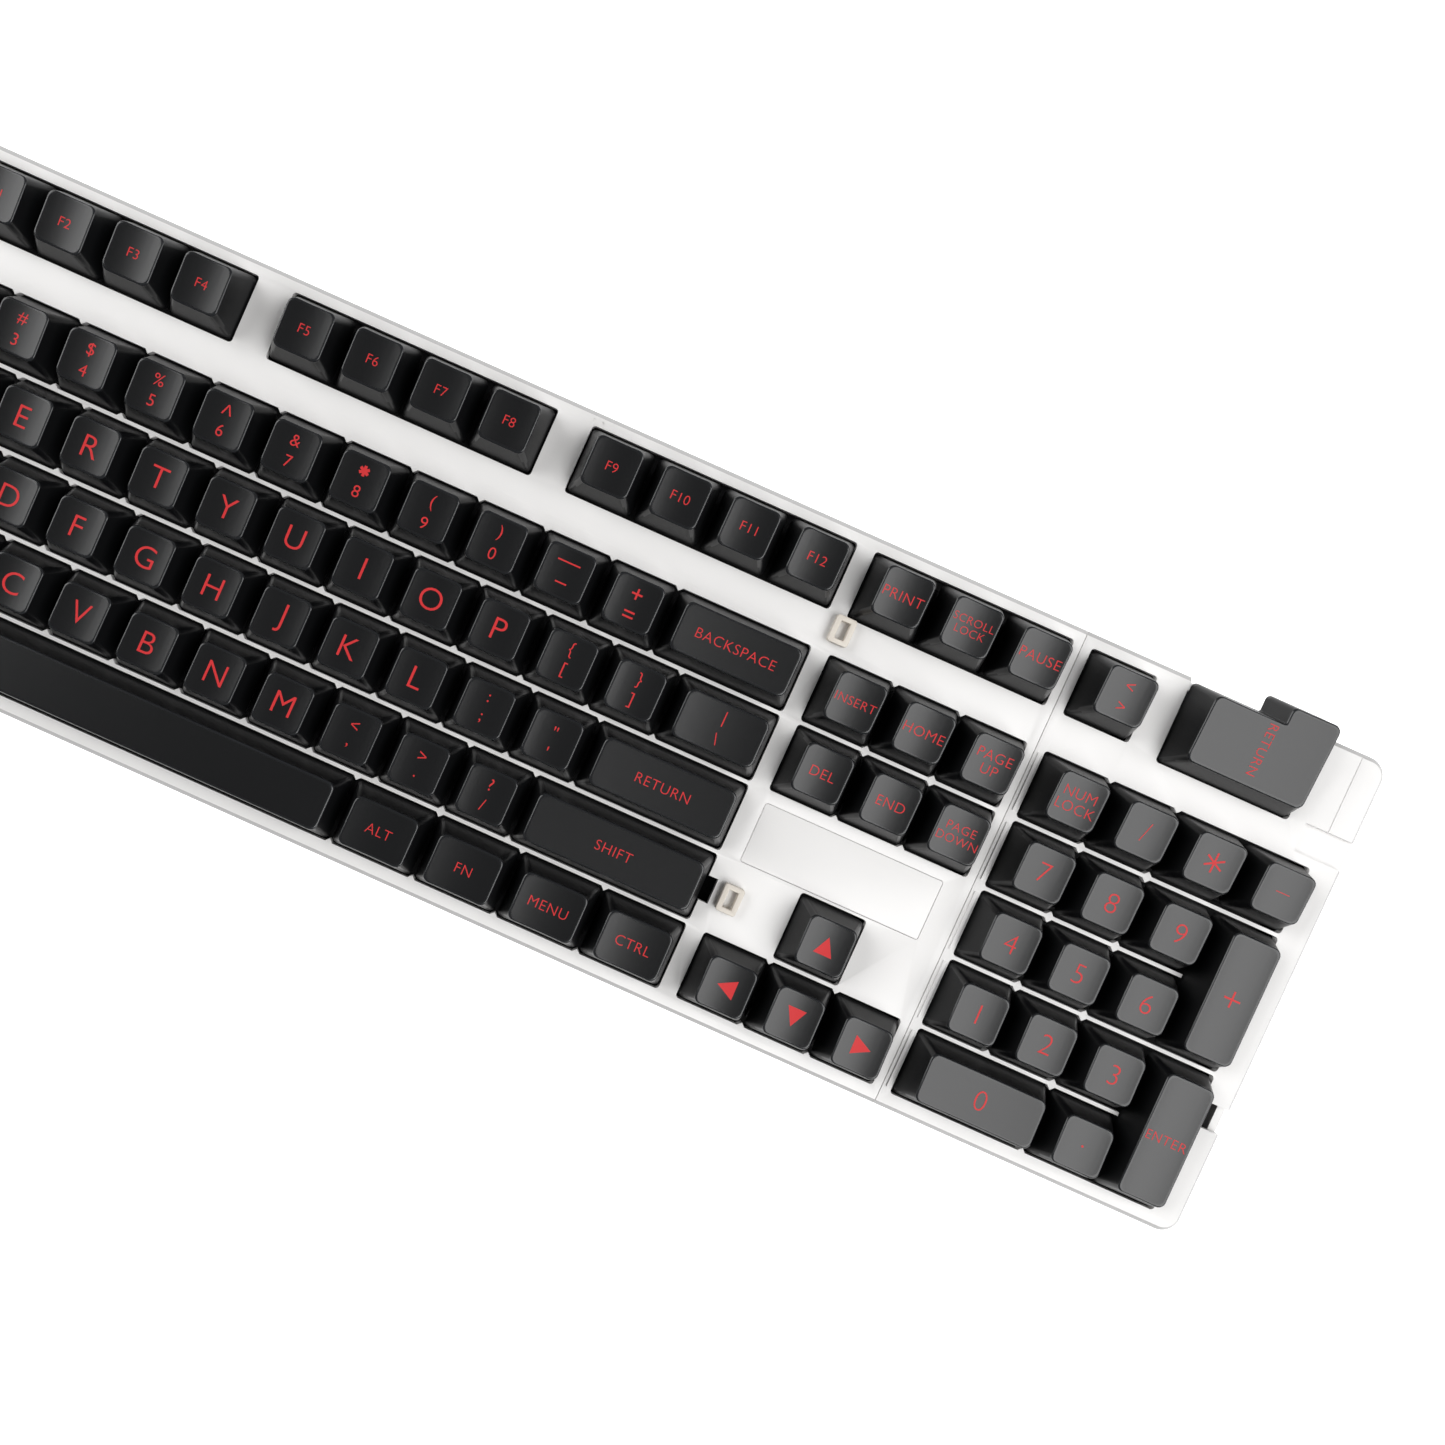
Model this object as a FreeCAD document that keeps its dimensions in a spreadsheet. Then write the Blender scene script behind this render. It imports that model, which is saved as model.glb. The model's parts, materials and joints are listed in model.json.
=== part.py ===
import FreeCAD, Part
import math
import os
import re
import Sketcher

# Full-size mechanical keyboard: white two-part cover over a tray, black switch plate, 106 keys on
# plunger switches, two flip-out feet.  +X runs to the number pad, +Y to the function row, +Z up,
# the desk is Z = 0 and the origin is the middle of the footprint.

os.makedirs("parts", exist_ok=True)
doc = FreeCAD.newDocument("keyboard")

# ---------------------------------------------------------------- driving dimensions (mm, degrees)
CELLS = [
    ("pitch_x", 19.05, "key pitch across the board"),
    ("pitch_y", 20.0, "row pitch, front to rear"),
    ("field_left", -214.3125, "left limit of the key field"),
    ("number_row", 23.7, "centre line of the number row"),
    ("function_gap", 29.4, "number row to function row"),
    ("case_width", 444.6, "outline across"),
    ("case_depth", 136.5, "outline front to rear"),
    ("case_centre_y", -1.95, "middle of the outline, the sideways return key stands out behind it"),
    ("case_corner", 5.0, "outline corner radius"),
    ("case_bottom", 1.2, "underside above the desk"),
    ("wall", 2.2, "case wall and floor"),
    ("floor_top", 3.4, "top of the tray floor"),
    ("parting", 15.6, "joint plane of tray and cover"),
    ("cover_top", 23.6, "top of the cover"),
    ("cover_skin", 2.2, "cover top thickness"),
    ("edge_bevel", 1.2, "bevel along the cover's top edge"),
    ("tray_bevel", 1.5, "bevel along the tray's lower edge"),
    ("seam_x", 135.6, "seam between the main and the number pad cover"),
    ("seam_gap", 0.2, "width of that seam"),
    ("row_opening", 19.0, "depth of one row's opening in the cover"),
    ("opening_inset", 0.12, "opening edge inside the key field's unit line"),
    ("opening_corner", 1.0, "opening corner radius"),
    ("board_bottom", 10.0, "underside of the circuit board"),
    ("board_thick", 1.6, "circuit board"),
    ("board_top", 11.6, "top of the circuit board"),
    ("plate_bottom", 15.1, "underside of the switch plate"),
    ("plate_top", 16.6, "top of the switch plate"),
    ("plate_margin", 2.8, "case outline to plate edge"),
    ("cutout", 14.0, "square hole for one switch"),
    ("travel", 4.0, "key travel"),
    ("cap_bottom", 23.2, "lower edge of a key cap at rest"),
    ("cap_gap_x", 1.15, "unit width less cap width"),
    ("cap_depth", 17.7, "cap depth, one row"),
    ("cap_taper_x", 5.0, "cap base width less top width"),
    ("cap_taper_y", 4.6, "cap base depth less top depth"),
    ("cap_corner", 1.2, "cap base corner radius"),
    ("cap_top_corner", 2.0, "cap top corner radius"),
    ("cap_wall", 1.4, "cap wall"),
    ("cap_roof", 1.9, "cap roof above the hollow, before dishing"),
    ("cap_spare", 0.8, "cap blank above its top, cut away by the dish"),
    ("dish", 0.6, "depth of the finger dish"),
    ("height_function", 9.8, "cap height, function and number rows"),
    ("height_upper", 9.2, "cap height, Q row"),
    ("height_home", 8.8, "cap height, A row"),
    ("height_lower", 8.8, "cap height, Z row"),
    ("height_bottom", 9.2, "cap height, space bar row"),
    ("boss_radius", 2.75, "round boss under a cap"),
    ("boss_rise", 0.6, "boss end above the cap's lower edge"),
    ("cross_arm", 4.0, "cross on top of a plunger, arm length"),
    ("cross_web", 1.15, "cross arm width"),
    ("cross_tall", 3.6, "cross height"),
    ("cross_play", 0.14, "cross slot wider than the cross"),
    ("return_left", 19.93, "left edge of the sideways return key, in units"),
    ("return_front", 42.6, "front edge of the sideways return key"),
    ("return_short", 22.7, "its depth on the left"),
    ("return_long", 27.6, "its depth on the right"),
    ("return_switch", 53.9, "centre line of its switch"),
    ("stab_short", 11.94, "stabiliser distance from the switch, wide keys"),
    ("stab_long", 50.0, "stabiliser distance from the switch, space bar"),
    ("foot_axis_y", 53.0, "hinge line of the flip-out feet"),
    ("foot_axis_z", 3.5, "height of that hinge line"),
    ("foot_x", 176.0, "feet left and right of the middle"),
    ("foot_width", 26.0, "foot width"),
    ("foot_length", 20.0, "hinge line to foot tip"),
    ("foot_half", 1.9, "half of the foot thickness"),
    ("foot_pin", 1.0, "hinge pin radius"),
    ("foot_bore", 1.06, "hinge bore radius"),
    ("foot_gap", 0.5, "room beside the foot"),
    ("pad_x", 176.0, "rubber pads left and right of the middle"),
    ("pad_front", -62.0, "front pads"),
    ("pad_rear", 60.5, "rear pads"),
    ("pad_width", 42.0, "pad width"),
    ("pad_depth", 7.0, "pad depth"),
    ("pad_thick", 1.6, "pad thickness"),
    ("screw_radius", 1.45, "case screw shank"),
    ("screw_head", 2.75, "case screw head radius"),
    ("head_tall", 1.8, "case screw head height"),
    ("shank_long", 17.4, "case screw shank length"),
    ("shank_in_head", 0.5, "start of the shank inside the head"),
    ("screw_bore", 1.7, "clearance hole"),
    ("thread_bore", 1.5, "hole the screw bites in"),
    ("screw_seat", 3.2, "under the screw head"),
    ("boss_case", 3.5, "screw pillar radius"),
    ("usb_x", -95.25, "socket position across"),
    ("usb_width", 8.94, "socket shell width"),
    ("usb_tall", 3.2, "socket shell height"),
    ("usb_deep", 7.4, "socket shell depth"),
    ("usb_skin", 0.3, "socket shell thickness"),
    ("tongue_wide", 6.7, "contact tongue in the socket, width"),
    ("tongue_thick", 0.7, "contact tongue thickness"),
    ("plunger_low", 17.8, "underside of a plunger's shoulder at rest"),
    ("plunger_wide", 8.2, "plunger shoulder width"),
    ("plunger_deep", 5.8, "plunger depth, front to rear"),
    ("shoulder_tall", 4.1, "plunger shoulder height"),
    ("shaft_wide", 7.0, "plunger shaft width"),
    ("coil_room", 2.5, "radius of the room for the spring in a plunger"),
    ("coil_room_tall", 4.7, "height of that room"),
    ("follower_wide", 5.0, "square stabiliser follower"),
    ("rest_gap", 0.3, "room left under a follower at full travel"),
    ("flange_wide", 15.6, "square flange of a switch on the plate"),
    ("flange_thick", 1.0, "flange thickness"),
    ("base_room", 11.4, "square room in a switch base"),
    ("base_floor", 1.5, "floor of a switch base"),
    ("guide_radius", 1.4, "spring guide on that floor"),
    ("guide_tall", 2.0, "spring guide height"),
    ("post_radius", 1.95, "locating post through the board"),
    ("post_past", 0.1, "post below the board's underside"),
    ("leaf_x", 5.1, "contact leaf from the switch's middle"),
    ("leaf_thick", 0.3, "contact leaf thickness"),
    ("leaf_wide", 1.0, "contact leaf width"),
    ("leaf_tail", 1.4, "leaf below the board"),
    ("leaf_play", 0.3, "leaf slot wider than the leaf"),
    ("top_wide", 14.6, "switch top at its foot"),
    ("top_crown_x", 10.6, "switch top at its crown, across"),
    ("top_crown_y", 11.6, "switch top at its crown, front to rear"),
    ("top_wall", 1.0, "switch top wall and roof"),
    ("window_x", 7.6, "plunger window across"),
    ("window_y", 6.4, "plunger window front to rear"),
    ("coil_radius", 2.0, "spring, axis to wire middle"),
    ("wire_radius", 0.2, "spring wire"),
    ("coil_pitch", 1.75, "spring pitch"),
    ("coil_turns", 5.0, "spring turns"),
    ("coil_foot", 0.25, "spring wire middle above the switch's floor"),
    ("diode_length", 3.6, "diode body length"),
    ("diode_wide", 1.6, "diode body width"),
    ("diode_tall", 1.2, "diode body height"),
    ("diode_y", 5.0, "diode behind the switch's middle"),
    ("chip_wide", 10.0, "square controller chip"),
    ("chip_tall", 1.4, "controller chip height"),
    ("chip_x", -40.0, "controller chip, left edge"),
    ("chip_y", 33.0, "controller chip, front edge"),
    ("housing_x", 6.8, "stabiliser housing across"),
    ("housing_y", 12.2, "stabiliser housing front to rear"),
    ("housing_tall", 7.7, "stabiliser housing height"),
    ("housing_room", 5.6, "square room for the follower"),
    ("post_case", 2.0, "tray post under the board"),
    ("well_wall", 2.4, "wall beside a foot's well"),
    ("well_deep", 4.6, "depth of a foot's well"),
    ("pin_reach", 2.2, "hinge pin into the well's wall"),
    ("seat_play", 0.3, "seats larger than what they hold"),
    ("panel_x", 51.0, "blank panel across"),
    ("panel_y", 16.8, "blank panel front to rear"),
    ("panel_thick", 1.2, "blank panel thickness"),
    ("panel_gap", 0.2, "panel seat larger than the panel"),
    ("panel_corner", 0.6, "panel corner radius"),
    ("shift_notch_x", 5.0, "notch through the cover beside the right shift key, across"),
    ("shift_notch_y", 7.0, "that notch front to rear"),
    ("enter_notch_x", 10.0, "notch in the right rim beside the pad enter key, across"),
    ("enter_notch_y", 7.0, "that notch front to rear"),
    ("enter_notch_deep", 3.0, "that notch below the top"),
    ("tooth_radius", 1.0, "teeth on the ribs between neighbouring caps, middle to corner"),
    ("tooth_out", 0.55, "middle of a tooth from the middle of its rib"),
    ("rim_line", 0.3, "groove near the right rim, width"),
    ("rim_line_long", 25.0, "groove length"),
    ("rim_deep", 0.15, "depth of that groove"),
    ("scoop_x", 16.0, "scoop in the right rim, across"),
    ("scoop_y", 8.0, "scoop front to rear"),
    ("scoop_deep", 1.6, "scoop depth"),
    ("pip", 0.9, "size of a pip behind the F11 key"),
    ("pip_deep", 0.3, "pip depth"),
    ("lip_wide", 0.9, "lip beside each number pad row, width"),
    ("lip_long", 16.5, "lip length"),
    ("lip_tall", 0.4, "lip height"),
    ("loop_x", 5.6, "clip loop across"),
    ("loop_y", 7.6, "clip loop front to rear"),
    ("loop_tall", 2.4, "clip loop height"),
    ("eye_x", 2.6, "eye of a clip loop across"),
    ("eye_y", 4.8, "eye of a clip loop front to rear"),
]
sheet = doc.addObject("Spreadsheet::Sheet", "Layout")
for line, (alias, value, note) in enumerate(CELLS, 1):
    sheet.set("A%d" % line, str(value))
    sheet.set("B%d" % line, note)
    sheet.setAlias("A%d" % line, alias)
doc.recompute()
ALIASES = {alias for alias, value, note in CELLS}
X_AXIS = FreeCAD.Vector(1, 0, 0)
Z_AXIS = FreeCAD.Vector(0, 0, 1)
THROUGH = 1


# ---------------------------------------------------------------- small helpers
def bind(item, prop, formula):
    """Drive one property from the sheet; a formula is written with the bare cell names."""
    full = re.sub(r"[a-z][a-z_]+", lambda m: "Layout." + m.group() if m.group() in ALIASES
                  else m.group(), str(formula))
    item.setExpression(prop, full)


def new_body(name):
    return doc.addObject("PartDesign::Body", name)


def plane_of(body, role):
    for feature in body.Origin.OriginFeatures:
        if feature.Role == role:
            return feature
    raise ValueError(role)


def new_sketch(body, name, x="0", y="0", z="0", role="XY_Plane"):
    """An empty sketch on an origin plane; x, y, z are its offset in the plane's own axes."""
    item = body.newObject("Sketcher::SketchObject", name)
    item.AttachmentSupport = [(plane_of(body, role), "")]
    item.MapMode = "FlatFace"
    bind(item, "AttachmentOffset.Base.x", x)
    bind(item, "AttachmentOffset.Base.y", y)
    bind(item, "AttachmentOffset.Base.z", z)
    return item


def dimension(item, kind, name, formula, *where, guess=1.0):
    index = item.addConstraint(Sketcher.Constraint(kind, *where, guess))
    item.renameConstraint(index, name)
    bind(item, "Constraints." + name, formula)


def rectangle(item, width, depth):
    """A sharp rectangle centred on the sketch origin."""
    ends = [FreeCAD.Vector(a, b, 0) for a, b in ((-5, -4), (5, -4), (5, 4), (-5, 4))]
    for k in range(4):
        item.addGeometry(Part.LineSegment(ends[k], ends[(k + 1) % 4]), False)
    for k in range(4):
        item.addConstraint(Sketcher.Constraint("Coincident", k, 2, (k + 1) % 4, 1))
        item.addConstraint(Sketcher.Constraint("Vertical" if k % 2 else "Horizontal", k))
    item.addConstraint(Sketcher.Constraint("Symmetric", 0, 1, 2, 1, -1, 1))
    dimension(item, "DistanceX", "width", width, 0, 1, 0, 2, guess=10)
    dimension(item, "DistanceY", "depth", depth, 1, 1, 1, 2, guess=8)


def rounded_rectangle(item, width, depth, corner):
    """A rectangle with four equal round corners, centred on the sketch origin."""
    quarter = 1.5707963267948966
    for k, (a, b) in enumerate(((4, -3), (4, 3), (-4, 3), (-4, -3))):
        circle = Part.Circle(FreeCAD.Vector(a, b, 0), Z_AXIS, 1.0)
        item.addGeometry(Part.ArcOfCircle(circle, (k - 1) * quarter, k * quarter), False)
    for a, b, c, d in ((-4, -4, 4, -4), (5, -3, 5, 3), (4, 4, -4, 4), (-5, 3, -5, -3)):
        item.addGeometry(Part.LineSegment(FreeCAD.Vector(a, b, 0), FreeCAD.Vector(c, d, 0)), False)
    for k in range(4):
        item.addConstraint(Sketcher.Constraint("Tangent", 4 + k, 2, k, 1))
        item.addConstraint(Sketcher.Constraint("Tangent", k, 2, 4 + (k + 1) % 4, 1))
        item.addConstraint(Sketcher.Constraint("Vertical" if k % 2 else "Horizontal", 4 + k))
    for k in range(1, 4):
        item.addConstraint(Sketcher.Constraint("Equal", 0, k))
    item.addConstraint(Sketcher.Constraint("Symmetric", 0, 3, 2, 3, -1, 1))
    dimension(item, "Radius", "corner", corner, 0)
    dimension(item, "DistanceX", "width", "%s - 2 * (%s)" % (width, corner), 3, 3, 0, 3, guess=8)
    dimension(item, "DistanceY", "depth", "%s - 2 * (%s)" % (depth, corner), 0, 3, 1, 3, guess=6)


def circle(item, radius):
    item.addGeometry(Part.Circle(FreeCAD.Vector(0, 0, 0), Z_AXIS, 1.0), False)
    item.addConstraint(Sketcher.Constraint("Coincident", 0, 3, -1, 1))
    dimension(item, "Radius", "radius", radius, 0)


def cross(item, arm, web):
    """A plus sign centred on the sketch origin."""
    steps = [(-2, -1), (-1, -1), (-1, -2), (1, -2), (1, -1), (2, -1),
             (2, 1), (1, 1), (1, 2), (-1, 2), (-1, 1), (-2, 1)]
    count = len(steps)
    for k in range(count):
        a = FreeCAD.Vector(steps[k][0], steps[k][1], 0)
        b = FreeCAD.Vector(steps[(k + 1) % count][0], steps[(k + 1) % count][1], 0)
        item.addGeometry(Part.LineSegment(a, b), False)
    for k in range(count):
        item.addConstraint(Sketcher.Constraint("Coincident", k, 2, (k + 1) % count, 1))
        item.addConstraint(Sketcher.Constraint("Vertical" if k % 2 else "Horizontal", k))
    item.addConstraint(Sketcher.Constraint("Symmetric", 2, 1, 8, 1, -1, 1))
    item.addConstraint(Sketcher.Constraint("Symmetric", 5, 1, 11, 1, -1, 1))
    dimension(item, "DistanceX", "wide", arm, 11, 1, 5, 2, guess=4)
    dimension(item, "DistanceY", "tall", arm, 2, 1, 8, 2, guess=4)
    dimension(item, "DistanceX", "web_x", web, 2, 1, 2, 2, guess=2)
    dimension(item, "DistanceY", "web_y", web, 5, 1, 5, 2, guess=2)


def pad(body, profile, length, name, down=False):
    item = body.newObject("PartDesign::Pad", name)
    item.Profile = profile
    item.Reversed = down
    bind(item, "Length", length)
    return item


def pocket(body, profile, length, name, up=False):
    """Cut along the sketch's normal backwards, or forwards when up; no length goes right through."""
    item = body.newObject("PartDesign::Pocket", name)
    item.Profile = profile
    item.Reversed = up
    if length is None:
        item.Type = THROUGH
    else:
        bind(item, "Length", length)
    return item


def loft(body, lower, upper, name, cut=False):
    item = body.newObject("PartDesign::SubtractiveLoft" if cut else "PartDesign::AdditiveLoft", name)
    item.Profile = lower
    item.Sections = [upper]
    item.Ruled = True
    return item


def repeat(body, features, role, length, count, name):
    """The features again along an origin axis; length is from the first to the last."""
    item = body.newObject("PartDesign::LinearPattern", name)
    item.Originals = features
    item.Direction = (plane_of(body, role), [""])
    item.Reversed = True
    bind(item, "Length", length)
    item.Occurrences = count
    body.Tip = item
    return item


def place(item, x, y, z="0"):
    bind(item, "Placement.Base.x", x)
    bind(item, "Placement.Base.y", y)
    bind(item, "Placement.Base.z", z)


def copies(master, places, z="0"):
    """Linked copies of one piece, each at an (x, y) or (x, y, quarter turn) place."""
    made = []
    for spot in places:
        link = doc.addObject("App::Link", master.Name + "_at")
        link.LinkedObject = master
        if len(spot) == 3:
            link.Placement.Rotation = FreeCAD.Rotation(Z_AXIS, 90)
        place(link, spot[0], spot[1], z)
        made.append(link)
    return made


def group(name, members):
    item = doc.addObject("Part::Compound", name)
    item.Links = members
    return item


# ---------------------------------------------------------------- where the keys are
ROW_Y = {
    "function": "number_row + function_gap",
    "number": "number_row",
    "upper": "number_row - pitch_y",
    "home": "number_row - 2 * pitch_y",
    "lower": "number_row - 3 * pitch_y",
    "bottom": "number_row - 4 * pitch_y",
}
ROW_HEIGHT = {
    "function": "height_function", "number": "height_function", "upper": "height_upper",
    "home": "height_home", "lower": "height_lower", "bottom": "height_bottom",
}
ROW_TILT = {"function": 4, "number": 4, "upper": 2, "home": 0, "lower": -2.5, "bottom": -3.5}

# node, row, left edge in units, cap width in units, number of caps
BANKS = [
    ("key_escape", "function", 0, 1, 1),
    ("keys_f1_f4", "function", 2, 1, 4),
    ("keys_f5_f8", "function", 6.5, 1, 4),
    ("keys_f9_f12", "function", 11, 1, 4),
    ("keys_print_pause", "function", 15.25, 1, 3),
    ("key_angle_brackets", "function", 18.5, 1, 1),
    ("keys_number_row", "number", 0, 1, 13),
    ("key_backspace", "number", 13, 2, 1),
    ("keys_insert_row", "number", 15.25, 1, 3),
    ("keys_pad_top", "number", 18.5, 1, 3),
    ("key_pad_minus", "number", 21.5, 1, 1),
    ("key_tab", "upper", 0, 1.5, 1),
    ("keys_q_row", "upper", 1.5, 1, 12),
    ("key_backslash", "upper", 13.5, 1.5, 1),
    ("keys_delete_row", "upper", 15.25, 1, 3),
    ("keys_pad_789", "upper", 18.5, 1, 3),
    ("key_caps_lock", "home", 0, 1.75, 1),
    ("keys_a_row", "home", 1.75, 1, 11),
    ("key_return", "home", 12.75, 2.25, 1),
    ("keys_pad_456", "home", 18.5, 1, 3),
    ("key_shift_left", "lower", 0, 2.25, 1),
    ("keys_z_row", "lower", 2.25, 1, 10),
    ("key_shift_right", "lower", 12.25, 2.75, 1),
    ("key_arrow_up", "lower", 16.25, 1, 1),
    ("keys_pad_123", "lower", 18.5, 1, 3),
    ("key_ctrl_left", "bottom", 0, 1.25, 1),
    ("key_meta", "bottom", 1.25, 1.25, 1),
    ("key_alt_left", "bottom", 2.5, 1.25, 1),
    ("key_space", "bottom", 3.75, 6.25, 1),
    ("key_alt_right", "bottom", 10, 1.25, 1),
    ("key_fn", "bottom", 11.25, 1.25, 1),
    ("key_menu", "bottom", 12.5, 1.25, 1),
    ("key_ctrl_right", "bottom", 13.75, 1.25, 1),
    ("key_arrow_left", "bottom", 15.25, 1, 1),
    ("key_arrow_down", "bottom", 16.25, 1, 1),
    ("key_arrow_right", "bottom", 17.25, 1, 1),
    ("key_pad_zero", "bottom", 18.5, 2, 1),
    ("key_pad_point", "bottom", 20.5, 1, 1),
]
# two rows deep: node, upper of its two rows, lower of its two rows
TALL_KEYS = [("key_pad_plus", "upper", "home"), ("key_pad_enter", "lower", "bottom")]
TALL_EDGE = 21.5
STAB_FROM = 2


def unit_x(units):
    return "field_left + pitch_x * %s" % units


def between(first, second):
    return "(%s + %s) / 2" % (ROW_Y[first], ROW_Y[second])


# ---------------------------------------------------------------- key caps
def hollow_cap(body, width, depth, height, tag, x="0", y="0"):
    """Outer blank and inner hollow of one tapered cap, standing on Z = 0."""
    low = new_sketch(body, "outer_low" + tag, x, y)
    rounded_rectangle(low, width, depth, "cap_corner")
    high = new_sketch(body, "outer_high" + tag, x, y, "%s + cap_spare" % height)
    grow = "(%s + cap_spare) / %s" % (height, height)
    rounded_rectangle(high, "%s - cap_taper_x * %s" % (width, grow),
                      "%s - cap_taper_y * %s" % (depth, grow), "cap_top_corner")
    inner_low = new_sketch(body, "inner_low" + tag, x, y)
    rounded_rectangle(inner_low, "%s - 2 * cap_wall" % width, "%s - 2 * cap_wall" % depth,
                      "cap_corner / 2")
    inner_high = new_sketch(body, "inner_high" + tag, x, y, "%s - cap_roof" % height)
    rounded_rectangle(inner_high, "%s - cap_taper_x - 2" % width, "%s - cap_taper_y - 2" % depth,
                      "cap_corner")
    return (low, high), (inner_low, inner_high)


def boss(body, height, tag, x="0", y="0"):
    """The round boss that takes a plunger's cross."""
    foot = new_sketch(body, "boss" + tag, x, y, "boss_rise")
    circle(foot, "boss_radius")
    pad(body, foot, "%s - cap_roof - boss_rise + 0.4" % height, "boss_pad" + tag)
    slot = new_sketch(body, "slot" + tag, x, y, "boss_rise")
    cross(slot, "cross_arm + cross_play", "cross_web + cross_play")
    pocket(body, slot, "cross_tall + cross_play", "slot_cut" + tag, up=True)


def scoop(body, half, height, tilt):
    """Cut the blank's top to a shallow dish that runs front to rear, leaned by tilt degrees."""
    item = new_sketch(body, "dish_profile", role="XZ_Plane")
    item.AttachmentOffset.Rotation = FreeCAD.Rotation(X_AXIS, tilt)
    bind(item, "AttachmentOffset.Rotation.Angle", tilt)
    ends = ((-8, 9), (-8, 14), (8, 14), (8, 9))
    for k in range(3):
        a = FreeCAD.Vector(ends[k][0], ends[k][1], 0)
        b = FreeCAD.Vector(ends[k + 1][0], ends[k + 1][1], 0)
        item.addGeometry(Part.LineSegment(a, b), False)
    arc = Part.Arc(FreeCAD.Vector(-8, 9, 0), FreeCAD.Vector(0, 8, 0), FreeCAD.Vector(8, 9, 0))
    item.addGeometry(arc, False)
    item.addConstraint(Sketcher.Constraint("Coincident", 0, 2, 1, 1))
    item.addConstraint(Sketcher.Constraint("Coincident", 1, 2, 2, 1))
    item.addConstraint(Sketcher.Constraint("Coincident", 0, 1, 3, 1))
    item.addConstraint(Sketcher.Constraint("Coincident", 2, 2, 3, 2))
    item.addConstraint(Sketcher.Constraint("Vertical", 0))
    item.addConstraint(Sketcher.Constraint("Vertical", 2))
    item.addConstraint(Sketcher.Constraint("Horizontal", 1))
    item.addConstraint(Sketcher.Constraint("Symmetric", 0, 1, 2, 2, -2))
    dimension(item, "DistanceX", "span", "2 * (%s)" % half, 0, 1, 2, 2, guess=16)
    dimension(item, "DistanceY", "rim", height, -1, 1, 0, 1, guess=9)
    dimension(item, "DistanceY", "rise", "5", 0, 1, 0, 2, guess=5)
    dimension(item, "Radius", "bend", "((%s) ^ 2 + dish ^ 2) / (2 * dish)" % half, 3, guess=32)
    cut = pocket(body, item, None, "dish_cut")
    cut.Midplane = True
    return cut


def keycap(name, width, depth, height, tilt, bosses):
    body = new_body(name)
    outer, inner = hollow_cap(body, width, depth, height, "")
    loft(body, outer[0], outer[1], "blank")
    loft(body, inner[0], inner[1], "hollow", cut=True)
    for k, (x, y) in enumerate(bosses):
        boss(body, height, "_%d" % k, x, y)
    scoop(body, "(%s - cap_taper_x) / 2 + 0.4" % width, height, tilt)
    return body


def bosses_for(units):
    if units < STAB_FROM:
        return [("0", "0")]
    reach = "stab_long" if units > 3 else "stab_short"
    return [("0", "0"), ("-" + reach, "0"), (reach, "0")]


def return_cap(name):
    """The L-shaped return key turned a quarter: long straight side to the front."""
    body = new_body(name)
    half = "pitch_x / 2"
    left, left_in = hollow_cap(body, "2 * pitch_x - cap_gap_x", "return_short", "height_function",
                               "_left", "0", "return_front + return_short / 2 - return_switch")
    right, right_in = hollow_cap(body, "pitch_x - cap_gap_x", "return_long", "height_function",
                                 "_right", half, "return_front + return_long / 2 - return_switch")
    loft(body, left[0], left[1], "blank_left")
    loft(body, right[0], right[1], "blank_right")
    loft(body, left_in[0], left_in[1], "hollow_left", cut=True)
    loft(body, right_in[0], right_in[1], "hollow_right", cut=True)
    for k, (x, y) in enumerate(bosses_for(STAB_FROM)):
        boss(body, "height_function", "_%d" % k, x, y)
    scoop(body, "pitch_x - cap_gap_x / 2 - cap_taper_x / 2 + 0.4", "height_function",
          ROW_TILT["function"])
    return body


# ---------------------------------------------------------------- switch pieces, standing at X = Y = 0
def plunger():
    """Cross, shaft and shoulder of a switch plunger, hollow below for the spring."""
    body = new_body("plunger")
    shoulder = new_sketch(body, "shoulder", z="plunger_low")
    rectangle(shoulder, "plunger_wide", "plunger_deep")
    pad(body, shoulder, "shoulder_tall", "shoulder_pad")
    shaft = new_sketch(body, "shaft", z="plunger_low + shoulder_tall")
    rectangle(shaft, "shaft_wide", "plunger_deep")
    pad(body, shaft, "cap_bottom + boss_rise - plunger_low - shoulder_tall", "shaft_pad")
    top = new_sketch(body, "cross", z="cap_bottom + boss_rise")
    cross(top, "cross_arm", "cross_web")
    pad(body, top, "cross_tall", "cross_pad")
    bore = new_sketch(body, "bore", z="plunger_low")
    circle(bore, "coil_room")
    pocket(body, bore, "coil_room_tall", "bore_cut", up=True)
    return body


def stab_plunger():
    """Follower under a wide cap."""
    body = new_body("stab_plunger")
    block = new_sketch(body, "block", z="board_top + travel + rest_gap")
    rectangle(block, "follower_wide", "follower_wide")
    pad(body, block, "cap_bottom + boss_rise - board_top - travel - rest_gap", "block_pad")
    top = new_sketch(body, "cross", z="cap_bottom + boss_rise")
    cross(top, "cross_arm", "cross_web")
    pad(body, top, "cross_tall", "cross_pad")
    return body


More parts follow.
